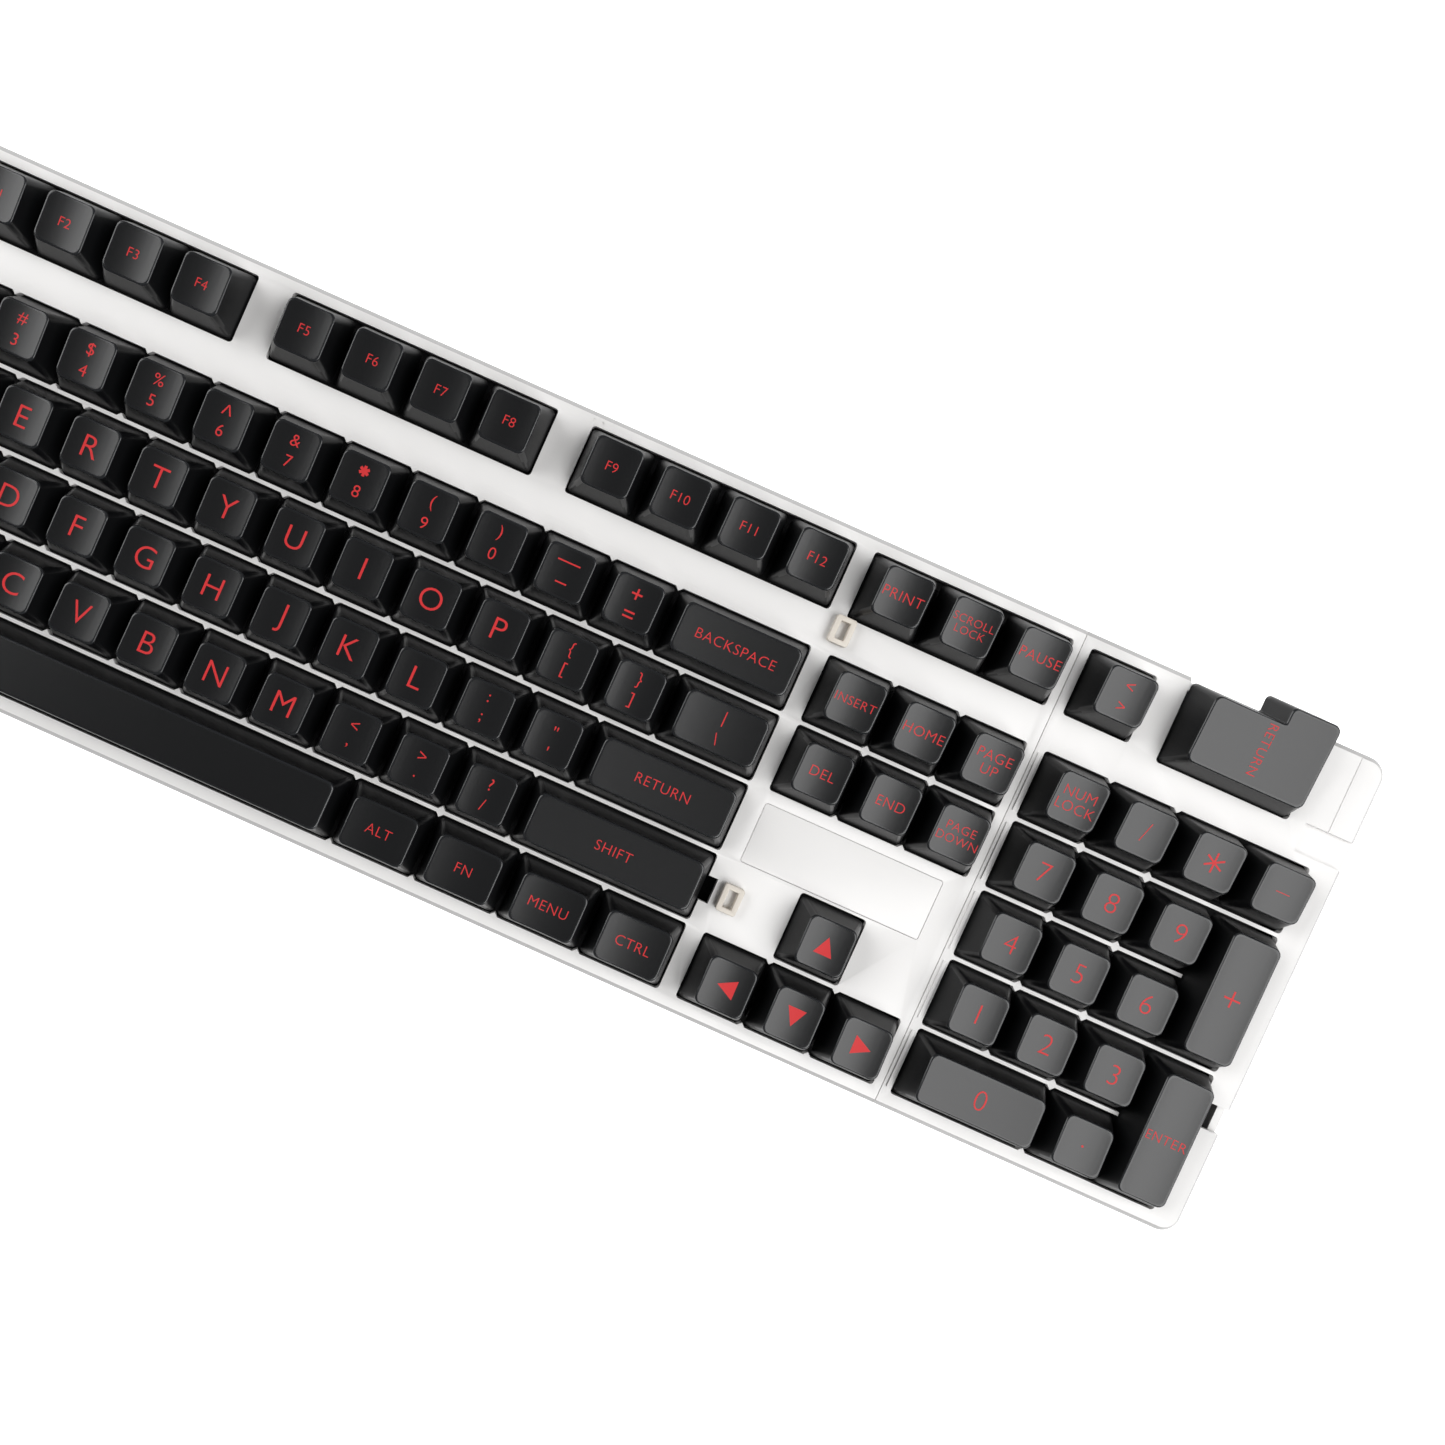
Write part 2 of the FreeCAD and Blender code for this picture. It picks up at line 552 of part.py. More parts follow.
def switch_base():
    """Lower half of a switch: cup in the plate's hole, flange on the plate, post through the board."""
    body = new_body("switch_base")
    cup = new_sketch(body, "cup", z="board_top")
    rectangle(cup, "cutout - 0.2", "cutout - 0.2")
    pad(body, cup, "plate_top - board_top", "cup_pad")
    flange = new_sketch(body, "flange", z="plate_top")
    rectangle(flange, "flange_wide", "flange_wide")
    pad(body, flange, "flange_thick", "flange_pad")
    room = new_sketch(body, "room", z="plate_top + flange_thick")
    rectangle(room, "base_room", "base_room")
    pocket(body, room, "plate_top + flange_thick - board_top - base_floor", "room_cut")
    guide = new_sketch(body, "guide", z="board_top + base_floor")
    circle(guide, "guide_radius")
    pad(body, guide, "guide_tall", "guide_pad")
    post = new_sketch(body, "post", z="board_top")
    circle(post, "post_radius")
    pad(body, post, "board_thick + post_past", "post_pad", down=True)
    for side in ("-", ""):
        slot = new_sketch(body, "leaf_slot", x=side + "leaf_x", z="board_top")
        rectangle(slot, "leaf_thick + leaf_play", "leaf_wide + leaf_play")
        pocket(body, slot, "base_floor", "leaf_slot_cut", up=True)
    return body


def switch_top():
    """Upper half of a switch, tapered, open in the middle for the plunger."""
    body = new_body("switch_top")
    low = new_sketch(body, "low", z="plate_top + flange_thick")
    rectangle(low, "top_wide", "top_wide")
    high = new_sketch(body, "high", z="cap_bottom")
    rectangle(high, "top_crown_x", "top_crown_y")
    loft(body, low, high, "shell")
    low_in = new_sketch(body, "low_in", z="plate_top + flange_thick")
    rectangle(low_in, "top_wide - 2 * top_wall", "top_wide - 2 * top_wall")
    high_in = new_sketch(body, "high_in", z="cap_bottom - top_wall")
    rectangle(high_in, "top_crown_x - 2 * top_wall", "top_crown_y - 2 * top_wall")
    loft(body, low_in, high_in, "room", cut=True)
    window = new_sketch(body, "window", z="cap_bottom")
    rectangle(window, "window_x", "window_y")
    pocket(body, window, "2 * top_wall", "window_cut")
    return body


def spring():
    """Coil under the plunger, of six-sided wire."""
    body = new_body("spring")
    wire = new_sketch(body, "wire", role="XZ_Plane")
    guess = FreeCAD.Vector(2, 13, 0)
    gauge = 0.2
    wire.addGeometry(Part.Circle(guess, Z_AXIS, gauge), True)
    dimension(wire, "DistanceX", "coil", "coil_radius", -1, 1, 0, 3, guess=guess.x)
    dimension(wire, "DistanceY", "start", "board_top + base_floor + coil_foot", -1, 1, 0, 3,
              guess=guess.y)
    dimension(wire, "Radius", "gauge", "wire_radius", 0, guess=gauge)
    sides = 6
    corners = [guess + FreeCAD.Vector(gauge * math.cos(math.tau * k / sides),
                                      gauge * math.sin(math.tau * k / sides), 0)
               for k in range(sides)]
    for k in range(sides):
        wire.addGeometry(Part.LineSegment(corners[k], corners[(k + 1) % sides]), False)
    for k in range(sides):
        wire.addConstraint(Sketcher.Constraint("Coincident", k + 1, 2, (k + 1) % sides + 1, 1))
        wire.addConstraint(Sketcher.Constraint("PointOnObject", k + 1, 1, 0))
    for k in range(1, sides):
        wire.addConstraint(Sketcher.Constraint("Equal", 1, k + 1))
    wire.addConstraint(Sketcher.Constraint("Horizontal", 2))
    coil = body.newObject("PartDesign::AdditiveHelix", "coil")
    coil.Profile = wire
    coil.ReferenceAxis = (wire, ["V_Axis"])
    coil.Mode = 0
    bind(coil, "Pitch", "coil_pitch")
    bind(coil, "Height", "coil_pitch * coil_turns")
    return body


def contact_leaf():
    item = doc.addObject("Part::Box", "contact_leaf")
    bind(item, "Length", "leaf_thick")
    bind(item, "Width", "leaf_wide")
    bind(item, "Height", "plate_top - 2 * rest_gap - board_bottom + leaf_tail")
    place(item, "0 - leaf_thick / 2", "0 - leaf_wide / 2", "board_bottom - leaf_tail")
    return item


def diode():
    item = doc.addObject("Part::Box", "diode")
    bind(item, "Length", "diode_length")
    bind(item, "Width", "diode_wide")
    bind(item, "Height", "diode_tall")
    place(item, "0 - diode_length / 2", "diode_y", "board_bottom - diode_tall")
    return item


def stab_housing():
    """Guide of a stabiliser, in the plate beside the switch."""
    body = new_body("stab_housing")
    column = new_sketch(body, "column", z="board_top")
    rectangle(column, "housing_x", "housing_y")
    pad(body, column, "housing_tall", "column_pad")
    flange = new_sketch(body, "flange", z="plate_top")
    rectangle(flange, "housing_x + flange_thick", "housing_y + flange_thick")
    pad(body, flange, "flange_thick", "flange_pad")
    window = new_sketch(body, "window", z="board_top")
    rectangle(window, "housing_room", "housing_room")
    pocket(body, window, None, "window_cut", up=True)
    return body


# ---------------------------------------------------------------- place all keys and switches
CAP = {}
switch_places = []
stab_places = []
leaf_places = []
nodes = []
the_plunger = plunger()
the_stab_plunger = stab_plunger()

for node, row, edge, wide, count in BANKS:
    profile = "function" if row == "number" else row
    key = "cap_%s_%d" % (profile, round(wide * 100))
    if key not in CAP:
        CAP[key] = keycap(key, "(%s * pitch_x - cap_gap_x)" % wide, "cap_depth", ROW_HEIGHT[row],
                          ROW_TILT[row], bosses_for(wide))
    spots = [(unit_x(edge + wide * (k + 0.5)), ROW_Y[row]) for k in range(count)]
    switch_places += spots
    members = copies(CAP[key], spots, "cap_bottom") + copies(the_plunger, spots)
    if wide >= STAB_FROM:
        reach = bosses_for(wide)[2][0]
        x, y = spots[0]
        stabs = [("%s - %s" % (x, reach), y), ("%s + %s" % (x, reach), y)]
        stab_places += stabs
        members += copies(the_stab_plunger, stabs)
    nodes.append(group(node, members))

for node, first, second in TALL_KEYS:
    x = unit_x(TALL_EDGE + 0.5)
    y = between(first, second)
    cap = keycap("cap_" + node, "(pitch_x - cap_gap_x)", "(pitch_y + cap_depth)", ROW_HEIGHT[first],
                 0, [("0", "0"), ("0", "-stab_short"), ("0", "stab_short")])
    stabs = [(x, y + " - stab_short", "turned"), (x, y + " + stab_short", "turned")]
    switch_places.append((x, y))
    stab_places += stabs
    nodes.append(group(node, copies(cap, [(x, y)], "cap_bottom") + copies(the_plunger, [(x, y)])
                       + copies(the_stab_plunger, stabs)))

return_place = ("field_left + pitch_x * (return_left + 1)", "return_switch")
stabs = [("%s - stab_short" % return_place[0], return_place[1]),
         ("%s + stab_short" % return_place[0], return_place[1])]
switch_places.append(return_place)
stab_places += stabs
members = copies(return_cap("cap_return_sideways"), [return_place], "cap_bottom")
members += copies(the_plunger, [return_place]) + copies(the_stab_plunger, stabs)
nodes.append(group("key_return_sideways", members))

nodes.append(group("switch_bases", copies(switch_base(), switch_places)))
nodes.append(group("switch_tops", copies(switch_top(), switch_places)))
nodes.append(group("switch_springs", copies(spring(), switch_places)))
for x, y in switch_places:
    leaf_places += [(x + " - leaf_x", y), (x + " + leaf_x", y)]
the_leaf = contact_leaf()
leaf_holder = group("contact_leaf_master", [the_leaf])
nodes.append(group("switch_contacts", copies(leaf_holder, leaf_places)))
diode_holder = group("diode_master", [diode()])
nodes.append(group("board_diodes", copies(diode_holder, switch_places)))
nodes.append(group("stabiliser_housings", copies(stab_housing(), stab_places)))

# ---------------------------------------------------------------- screws and pillars
STRIP_Y = "number_row + 14.9"
SCREWS = [
    (unit_x(0.6), STRIP_Y), (unit_x(5), STRIP_Y), (unit_x(10), STRIP_Y), (unit_x(14.3), STRIP_Y),
    (unit_x(17.6), STRIP_Y), (unit_x(21.9), "number_row + 13.5"),
    (unit_x(15.8), "number_row - 41"), (unit_x(17.7), "number_row - 57"),
]
POSTS = [(unit_x(k), "number_row - %s * pitch_y" % r) for r in (0.5, 3.5) for k in (2, 7, 12, 20)]


def column(name, radius, bottom, length):
    item = doc.addObject("Part::Cylinder", name)
    bind(item, "Radius", radius)
    bind(item, "Height", length)
    bind(item, "Placement.Base.z", bottom)
    return item


def screw():
    head = column("screw_head", "screw_head", "screw_seat - head_tall", "head_tall")
    shank = column("screw_shank", "screw_radius", "screw_seat - shank_in_head", "shank_long")
    item = doc.addObject("Part::MultiFuse", "screw")
    item.Shapes = [head, shank]
    return item


nodes.append(group("case_screws", copies(screw(), SCREWS)))


# ---------------------------------------------------------------- switch plate and circuit board
def slab(name, margin, bottom, thick):
    body = new_body(name)
    outline = new_sketch(body, "outline", y="case_centre_y", z=bottom)
    rounded_rectangle(outline, "case_width - 2 * %s" % margin, "case_depth - 2 * %s" % margin,
                      "case_corner - 2.5")
    pad(body, outline, thick, "sheet")
    return body


def cutter(name, wide, deep):
    item = doc.addObject("Part::Box", name)
    bind(item, "Length", wide)
    bind(item, "Width", deep)
    item.Height = 12
    place(item, "-(%s) / 2" % wide, "-(%s) / 2" % deep, "board_bottom - 2")
    return group(name + "_tool", [item])


def drill(name, radius):
    return group(name + "_tool", [column(name, radius, "board_bottom - 2", "12")])


def perforated(name, blank, tools):
    item = doc.addObject("Part::Cut", name)
    item.Base = blank
    item.Tool = group(name + "_holes", tools)
    return item


screw_drill = drill("screw_drill", "screw_bore")
plate_tools = copies(cutter("switch_hole", "cutout", "cutout"), switch_places)
plate_tools += copies(cutter("stab_hole", "7", "12.4"), stab_places)
plate_tools += copies(screw_drill, SCREWS)
nodes.append(perforated("switch_plate", slab("plate_blank", "plate_margin", "plate_bottom",
                                             "plate_top - plate_bottom"), plate_tools))
board_tools = copies(drill("post_drill", "2.05"), switch_places)
board_tools += copies(drill("leaf_drill", "0.75"), leaf_places)
board_tools += copies(screw_drill, SCREWS)
nodes.append(perforated("circuit_board", slab("board_blank", "3.2", "board_bottom", "board_thick"),
                        board_tools))

chip = doc.addObject("Part::Box", "controller_chip")
bind(chip, "Length", "chip_wide")
bind(chip, "Width", "chip_wide")
bind(chip, "Height", "chip_tall")
place(chip, "chip_x", "chip_y", "board_bottom - chip_tall")
nodes.append(chip)


def usb_socket():
    """Shell of a small reversible-plug socket with its tongue, flush with the rear wall."""
    body = new_body("usb_socket")
    rear = "case_centre_y + case_depth / 2"
    middle = "board_top + usb_tall / 2"
    shell = new_sketch(body, "shell", x="usb_x", y=middle, z="-(%s)" % rear, role="XZ_Plane")
    rounded_rectangle(shell, "usb_width", "usb_tall", "1.5")
    pad(body, shell, "usb_deep", "shell_pad", down=False)
    mouth = new_sketch(body, "mouth", x="usb_x", y=middle, z="-(%s)" % rear, role="XZ_Plane")
    rounded_rectangle(mouth, "usb_width - 2 * usb_skin", "usb_tall - 2 * usb_skin", "1.5 - usb_skin")
    pocket(body, mouth, "usb_deep - 1", "mouth_cut", up=True)
    tongue = new_sketch(body, "tongue", x="usb_x", y=middle, z="-(%s) + 1" % rear, role="XZ_Plane")
    rectangle(tongue, "tongue_wide", "tongue_thick")
    pad(body, tongue, "usb_deep - 1.5", "tongue_pad", down=False)
    return body


nodes.append(usb_socket())


# ---------------------------------------------------------------- tray
def tray():
    body = new_body("bottom_case")
    outline = new_sketch(body, "outline", y="case_centre_y", z="case_bottom")
    rounded_rectangle(outline, "case_width", "case_depth", "case_corner")
    block = pad(body, outline, "parting - case_bottom", "block")
    doc.recompute()
    edges = ["Edge%d" % k for k, edge in enumerate(block.Shape.Edges, 1)
             if edge.BoundBox.ZMax < block.Shape.BoundBox.ZMin + 0.1]
    bevel = body.newObject("PartDesign::Chamfer", "lower_bevel")
    bevel.Base = (block, edges)
    bind(bevel, "Size", "tray_bevel")
    room = new_sketch(body, "room", y="case_centre_y", z="parting")
    rounded_rectangle(room, "case_width - 2 * wall", "case_depth - 2 * wall", "case_corner - wall")
    pocket(body, room, "parting - floor_top", "room_cut")
    for k, (x, y) in enumerate(SCREWS):
        pillar = new_sketch(body, "pillar_%d" % k, x, y, "floor_top")
        circle(pillar, "boss_case")
        pad(body, pillar, "board_bottom - floor_top", "pillar_pad_%d" % k)
        hole = new_sketch(body, "hole_%d" % k, x, y, "case_bottom")
        circle(hole, "screw_bore")
        pocket(body, hole, None, "hole_cut_%d" % k, up=True)
        seat = new_sketch(body, "seat_%d" % k, x, y, "case_bottom")
        circle(seat, "screw_head + seat_play")
        pocket(body, seat, "screw_seat - case_bottom", "seat_cut_%d" % k, up=True)
    for k, (x, y) in enumerate(POSTS):
        post = new_sketch(body, "post_%d" % k, x, y, "floor_top")
        circle(post, "post_case")
        pad(body, post, "board_bottom - floor_top", "post_pad_%d" % k)
    for k, side in enumerate(("-", "")):
        x = side + "foot_x"
        middle = "foot_axis_y - (foot_length - foot_half) / 2"
        box = new_sketch(body, "well_%d" % k, x, middle, "floor_top")
        rectangle(box, "foot_width + 2 * foot_gap + 2 * well_wall",
                  "foot_length + foot_half + 2 * foot_gap + 3")
        pad(body, box, "3.6", "well_pad_%d" % k)
        well = new_sketch(body, "well_room_%d" % k, x, middle, "case_bottom")
        rectangle(well, "foot_width + 2 * foot_gap", "foot_length + foot_half + 2 * foot_gap")
        pocket(body, well, "well_deep", "well_cut_%d" % k, up=True)
        bore = new_sketch(body, "bore_%d" % k, "foot_axis_y", "foot_axis_z",
                          x + " - foot_width / 2 - foot_gap - well_wall", role="YZ_Plane")
        circle(bore, "foot_bore")
        pocket(body, bore, "foot_width + 2 * foot_gap + 2 * well_wall", "bore_cut_%d" % k, up=True)
        for m, spot in enumerate(("pad_front", "pad_rear")):
            seat = new_sketch(body, "pad_seat_%d_%d" % (k, m), side + "pad_x", spot, "case_bottom")
            rounded_rectangle(seat, "pad_width + seat_play", "pad_depth + seat_play", "1.5")
            pocket(body, seat, "pad_thick - case_bottom", "pad_seat_cut_%d_%d" % (k, m), up=True)
    slot = new_sketch(body, "usb_slot", "usb_x", "board_top + usb_tall / 2",
                      "-(case_centre_y + case_depth / 2 + 1)", role="XZ_Plane")
    rounded_rectangle(slot, "usb_width + seat_play", "usb_tall + seat_play", "1.6")
    pocket(body, slot, "wall + 1.5", "usb_slot_cut", up=True)
    return body


nodes.append(tray())


# ---------------------------------------------------------------- cover
def opening(body, name, left, right, row_y, rows=1):
    """One row's opening, or the same opening again in the rows in front of it."""
    item = new_sketch(body, name, unit_x("(%s + %s) / 2" % (left, right)), row_y, "cover_top")
    rounded_rectangle(item, "(%s - %s) * pitch_x - 2 * opening_inset" % (right, left), "row_opening",
                      "opening_corner")
    cut = pocket(body, item, "cover_skin + 1", name + "_cut")
    if rows > 1:
        repeat(body, [cut], "Y_Axis", "%d * pitch_y" % (rows - 1), rows, name + "_rows")


def recess(body, name, x, y, wide, deep, depth, corner=None, z="cover_top"):
    item = new_sketch(body, name, x, y, z)
    if corner:
        rounded_rectangle(item, wide, deep, corner)
    else:
        rectangle(item, wide, deep)
    pocket(body, item, depth, name + "_cut")


def cover(name, keep_left):
    """Top shell on one side of the seam, with its screw pillars but no key openings yet."""
    body = new_body(name)
    outline = new_sketch(body, "outline", y="case_centre_y", z="parting")
    rounded_rectangle(outline, "case_width", "case_depth", "case_corner")
    block = pad(body, outline, "cover_top - parting", "block")
    doc.recompute()
    edges = ["Edge%d" % k for k, edge in enumerate(block.Shape.Edges, 1)
             if edge.BoundBox.ZMin > block.Shape.BoundBox.ZMax - 0.1]
    bevel = body.newObject("PartDesign::Chamfer", "upper_bevel")
    bevel.Base = (block, edges)
    bind(bevel, "Size", "edge_bevel")
    room = new_sketch(body, "room", y="case_centre_y", z="parting")
    rounded_rectangle(room, "case_width - 2 * wall", "case_depth - 2 * wall", "case_corner - wall")
    pocket(body, room, "cover_top - cover_skin - parting", "room_cut", up=True)
    if keep_left:
        middle = "(seam_x - seam_gap / 2 + case_width / 2 + 10) / 2"
        wide = "case_width / 2 + 10 - seam_x + seam_gap / 2"
    else:
        middle = "(seam_x + seam_gap / 2 - case_width / 2 - 10) / 2"
        wide = "case_width / 2 + 10 + seam_x + seam_gap / 2"
    recess(body, "seam", middle, "0", wide, "case_depth + 20", "cover_top - parting + 1")
    for k, (x, y) in enumerate(SCREWS):
        if (k == 5) == keep_left:
            continue
        pillar = new_sketch(body, "pillar_%d" % k, x, y, "plate_top")
        circle(pillar, "boss_case")
        pad(body, pillar, "cover_top - cover_skin - plate_top", "pillar_pad_%d" % k)
        hole = new_sketch(body, "hole_%d" % k, x, y, "plate_top")
        circle(hole, "thread_bore")
        pocket(body, hole, "4", "hole_cut_%d" % k, up=True)
    return body


def joints_between(left, right, rows):
    """Places of the teeth: on both ribs of a row, wherever two of its caps meet."""
    places = []
    for _, row, edge, wide, count in BANKS:
        if row in rows and left <= edge < right:
            for k in range(count):
                end = edge + wide * (k + 1)
                if end < right:
                    for side in ("+", "-"):
                        rib = "(pitch_y / 2 - tooth_out)"
                        places.append((unit_x(end), "%s %s %s" % (ROW_Y[row], side, rib)))
    return places


def toothed(name, shell, places):
    tooth = doc.addObject("Part::Prism", name + "_tooth")
    tooth.Polygon = 4
    bind(tooth, "Circumradius", "tooth_radius")
    bind(tooth, "Height", "cover_skin")
    bind(tooth, "Placement.Base.z", "cover_top - cover_skin")
    item = doc.addObject("Part::MultiFuse", name)
    item.Shapes = [shell] + copies(group(name + "_tooth_master", [tooth]), places)
    return item


FUNCTION = ROW_Y["function"]
NUMBER = ROW_Y["number"]
BLOCK_ROWS = ("number", "upper", "home", "lower", "bottom")
main = cover("main_shell", True)
opening(main, "block", 0, 15, NUMBER, 5)
opening(main, "escape", 0, 1, FUNCTION)
for k, left in enumerate((2, 6.5, 11)):
    opening(main, "functions_%d" % k, left, left + 4, FUNCTION)
opening(main, "print", 15.25, 18.25, FUNCTION)
opening(main, "insert", 15.25, 18.25, NUMBER, 2)
opening(main, "up", 16.25, 17.25, ROW_Y["lower"])
opening(main, "arrows", 15.25, 18.25, ROW_Y["bottom"])
PANEL_X = unit_x(16.64)
PANEL_Y = "number_row - 41.3"
recess(main, "panel_seat", PANEL_X, PANEL_Y, "panel_x + panel_gap", "panel_y + panel_gap",
       "panel_thick", "0.8")
recess(main, "shift_notch", "field_left + 285.8", ROW_Y["lower"], "shift_notch_x",
       "shift_notch_y", "cover_skin + 1")
for k in (0, 1):
    recess(main, "pip_%d" % k, "field_left + %s" % (209.3 + 2.5 * k), "number_row + 40.2", "pip",
           "pip", "pip_deep", "0.4")
nodes.append(toothed("cover_main", main, joints_between(0, 15, BLOCK_ROWS)
                     + joints_between(15.25, 18.25, ("number", "upper", "bottom"))))

side = cover("number_pad_shell", False)
opening(side, "block", 18.5, 22.5, NUMBER, 5)
opening(side, "angle", 18.5, 19.5, FUNCTION)
for k, (first, second) in enumerate((("upper", "home"), ("lower", "bottom"))):
    recess(side, "tall_%d" % k, unit_x(22), between(first, second),
           "pitch_x - 2 * opening_inset", "pitch_y + row_opening", "cover_skin + 1", "opening_corner")
recess(side, "return_room", "field_left + pitch_x * (return_left + 1)", "return_front + 19.6",
       "2 * pitch_x - 2 * opening_inset", "40", "cover_top - parting + 1", "opening_corner")
recess(side, "rim_line", "field_left + 428.6", "number_row + 31", "rim_line", "rim_line_long",
       "rim_deep")
recess(side, "rim_scoop", "field_left + 430.5", "number_row + 16", "scoop_x", "scoop_y",
       "scoop_deep")
recess(side, "enter_notch", "field_left + 433.5", "number_row - 60.8", "enter_notch_x",
       "enter_notch_y", "enter_notch_deep")
lip = new_sketch(side, "lip", "field_left + 351.4", NUMBER, "cover_top")
rectangle(lip, "lip_wide", "lip_long")
lip_pad = pad(side, lip, "lip_tall", "lip_pad")
repeat(side, [lip_pad], "Y_Axis", "4 * pitch_y", 5, "lips")
nodes.append(toothed("cover_number_pad", side, joints_between(18.5, 21.5, BLOCK_ROWS)))

panel = new_body("cover_panel")
panel_outline = new_sketch(panel, "outline", PANEL_X, PANEL_Y, "cover_top - panel_thick")
rounded_rectangle(panel_outline, "panel_x", "panel_y", "panel_corner")
pad(panel, panel_outline, "panel_thick", "panel_pad")
nodes.append(panel)


def clip_loop():
    body = new_body("clip_loop")
    ring = new_sketch(body, "ring", z="cover_top")
    rounded_rectangle(ring, "loop_x", "loop_y", "0.8")
    pad(body, ring, "loop_tall", "ring_pad")
    eye = new_sketch(body, "eye", z="cover_top")
    rectangle(eye, "eye_x", "eye_y")
    pocket(body, eye, None, "eye_cut", up=True)
    return body


LOOPS = [("field_left + 290.8", "number_row + 16.1"), ("field_left + 293", "number_row - 59.9")]
nodes.append(group("cover_clips", copies(clip_loop(), LOOPS)))


# ---------------------------------------------------------------- rubber pads and flip-out feet
def rubber_pad():
    body = new_body("rubber_pad")
    outline = new_sketch(body, "outline")
    rounded_rectangle(outline, "pad_width", "pad_depth", "1.4")
    pad(body, outline, "pad_thick", "slab")
    return body


PADS = [(s + "pad_x", y) for s in ("-", "") for y in ("pad_front", "pad_rear")]
nodes.append(group("rubber_pads", copies(rubber_pad(), PADS)))


def flip_foot(name, x):
    """A flat foot lying forward of its hinge pin, round at the hinge end."""
    body = new_body(name)
    left = x + " - foot_width / 2"
    slab_side = new_sketch(body, "side", "foot_axis_y - foot_length / 2", "foot_axis_z", left,
                           role="YZ_Plane")
    rectangle(slab_side, "foot_length", "2 * foot_half")
    pad(body, slab_side, "foot_width", "blade")
    knuckle = new_sketch(body, "knuckle", "foot_axis_y", "foot_axis_z", left, role="YZ_Plane")
    circle(knuckle, "foot_half")
    pad(body, knuckle, "foot_width", "knuckle_pad")
    pin = new_sketch(body, "pin", "foot_axis_y", "foot_axis_z", left + " - foot_gap - pin_reach",
                     role="YZ_Plane")
    circle(pin, "foot_pin")
    pad(body, pin, "foot_width + 2 * foot_gap + 2 * pin_reach", "pin_pad")
    return body


nodes.append(flip_foot("foot_left", "-foot_x"))
nodes.append(flip_foot("foot_right", "foot_x"))

# ---------------------------------------------------------------- check and write
doc.recompute()
for item in doc.Objects:
    faults = [word for word in item.State if word in ("Invalid", "Error")]
    if faults:
        raise RuntimeError("%s is %s" % (item.Label, faults))
for item in nodes:
    shape = item.Shape
    if shape.isNull() or not shape.isValid():
        raise RuntimeError("%s has no valid shape" % item.Label)
    print("%-24s %4d solids %12.1f mm3" % (item.Label, len(shape.Solids), shape.Volume))
    shape.exportStep("parts/%s.step" % item.Label)
print("nodes", len(nodes), "switches", len(switch_places), "stabilisers", len(stab_places))
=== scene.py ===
import json
import math

import bmesh
import bpy
from mathutils import Matrix, Vector


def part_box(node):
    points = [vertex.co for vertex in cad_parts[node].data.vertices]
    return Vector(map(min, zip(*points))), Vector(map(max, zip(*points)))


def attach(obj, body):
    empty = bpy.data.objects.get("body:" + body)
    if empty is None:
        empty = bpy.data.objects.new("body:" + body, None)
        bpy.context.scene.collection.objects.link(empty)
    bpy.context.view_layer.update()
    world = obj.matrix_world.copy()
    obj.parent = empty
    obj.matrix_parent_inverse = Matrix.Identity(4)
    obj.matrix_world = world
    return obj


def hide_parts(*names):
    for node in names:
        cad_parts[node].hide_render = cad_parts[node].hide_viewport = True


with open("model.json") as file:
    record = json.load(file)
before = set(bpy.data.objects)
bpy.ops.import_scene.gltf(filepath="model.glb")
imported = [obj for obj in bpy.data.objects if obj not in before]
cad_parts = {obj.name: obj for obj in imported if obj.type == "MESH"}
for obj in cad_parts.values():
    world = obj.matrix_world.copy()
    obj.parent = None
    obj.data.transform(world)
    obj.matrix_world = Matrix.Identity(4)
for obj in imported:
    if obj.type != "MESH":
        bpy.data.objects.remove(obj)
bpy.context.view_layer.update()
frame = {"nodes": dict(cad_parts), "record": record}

MM = 0.001
PITCH = 19.05 * MM
# key caps: base less top, finger dish, rolled top edge, lower lip's chamfer, hollow
CAP_BOTTOM = 23.2 * MM
TAPER = (5.0 * MM, 4.6 * MM)
DISH = 0.6 * MM
DISH_PAST = 0.4 * MM
EDGE = 0.55 * MM
HEM = 0.15 * MM
BASE_CORNER = 1.5 * MM
TOP_CORNER = 2.0 * MM
WALL = 1.4 * MM
ROOF = 2.1 * MM
# strip beside the rolled edge, on top and side, across which its painted highlight fades out, half the
# thickness of a legend, width of a bent strip
HIGHLIGHT_FADE = 0.35 * MM
LIFT = 0.03 * MM
CAP_STRIP, LEGEND_STRIP = 1.3 * MM, 1.2 * MM
# the dish and the lean fade out below this share of a cap's height
FADE_FROM = 0.25
# stabilisers from the switch: wide keys, space bar
STAB_SHORT, STAB_LONG = 11.94 * MM, 50 * MM
# plungers and followers, z from the cap's lower edge
BOSS_RADIUS, BOSS_LOW, BOSS_HIGH = 2.75 * MM, 0.6 * MM, 7.0 * MM
PLUNGER_LOW = 17.8 * MM - CAP_BOTTOM
FOLLOWER_LOW = 15.9 * MM - CAP_BOTTOM
FOLLOWER = 5.0 * MM
FOOT_X, FOOT_TALL, SHAFT_X, PLUNGER_Y = 8.2 * MM, 4.1 * MM, 7.0 * MM, 5.8 * MM
COIL_ROOM, COIL_TALL = 5.0 * MM, 4.7 * MM
# the L-shaped return key: depth on the left, foot of its step, corners at the step
RETURN_SHORT, RETURN_STEP = 22.7 * MM, 0.575 * MM
STEP_OUTER, STEP_INNER = 1.4 * MM, 0.6 * MM
# legends: line of a two-line legend from the middle, arrow, share of the cap's top
LINE_OUT = 2.75 * MM
ARROW = 4.9 * MM
LEGEND_SHARE = 0.86
RETURN_LEGEND, RETURN_SHIFT = 14 * MM, (0.5 * MM, -1.6 * MM)
# face normals' z: cap tops above UPWARD (the rest take the darker side copy, painted shade), cover
# bevels between SLANTED and UPRIGHT (darker grey, painted shade)
UPWARD = 0.35
SLANTED, UPRIGHT = 0.2, 0.95

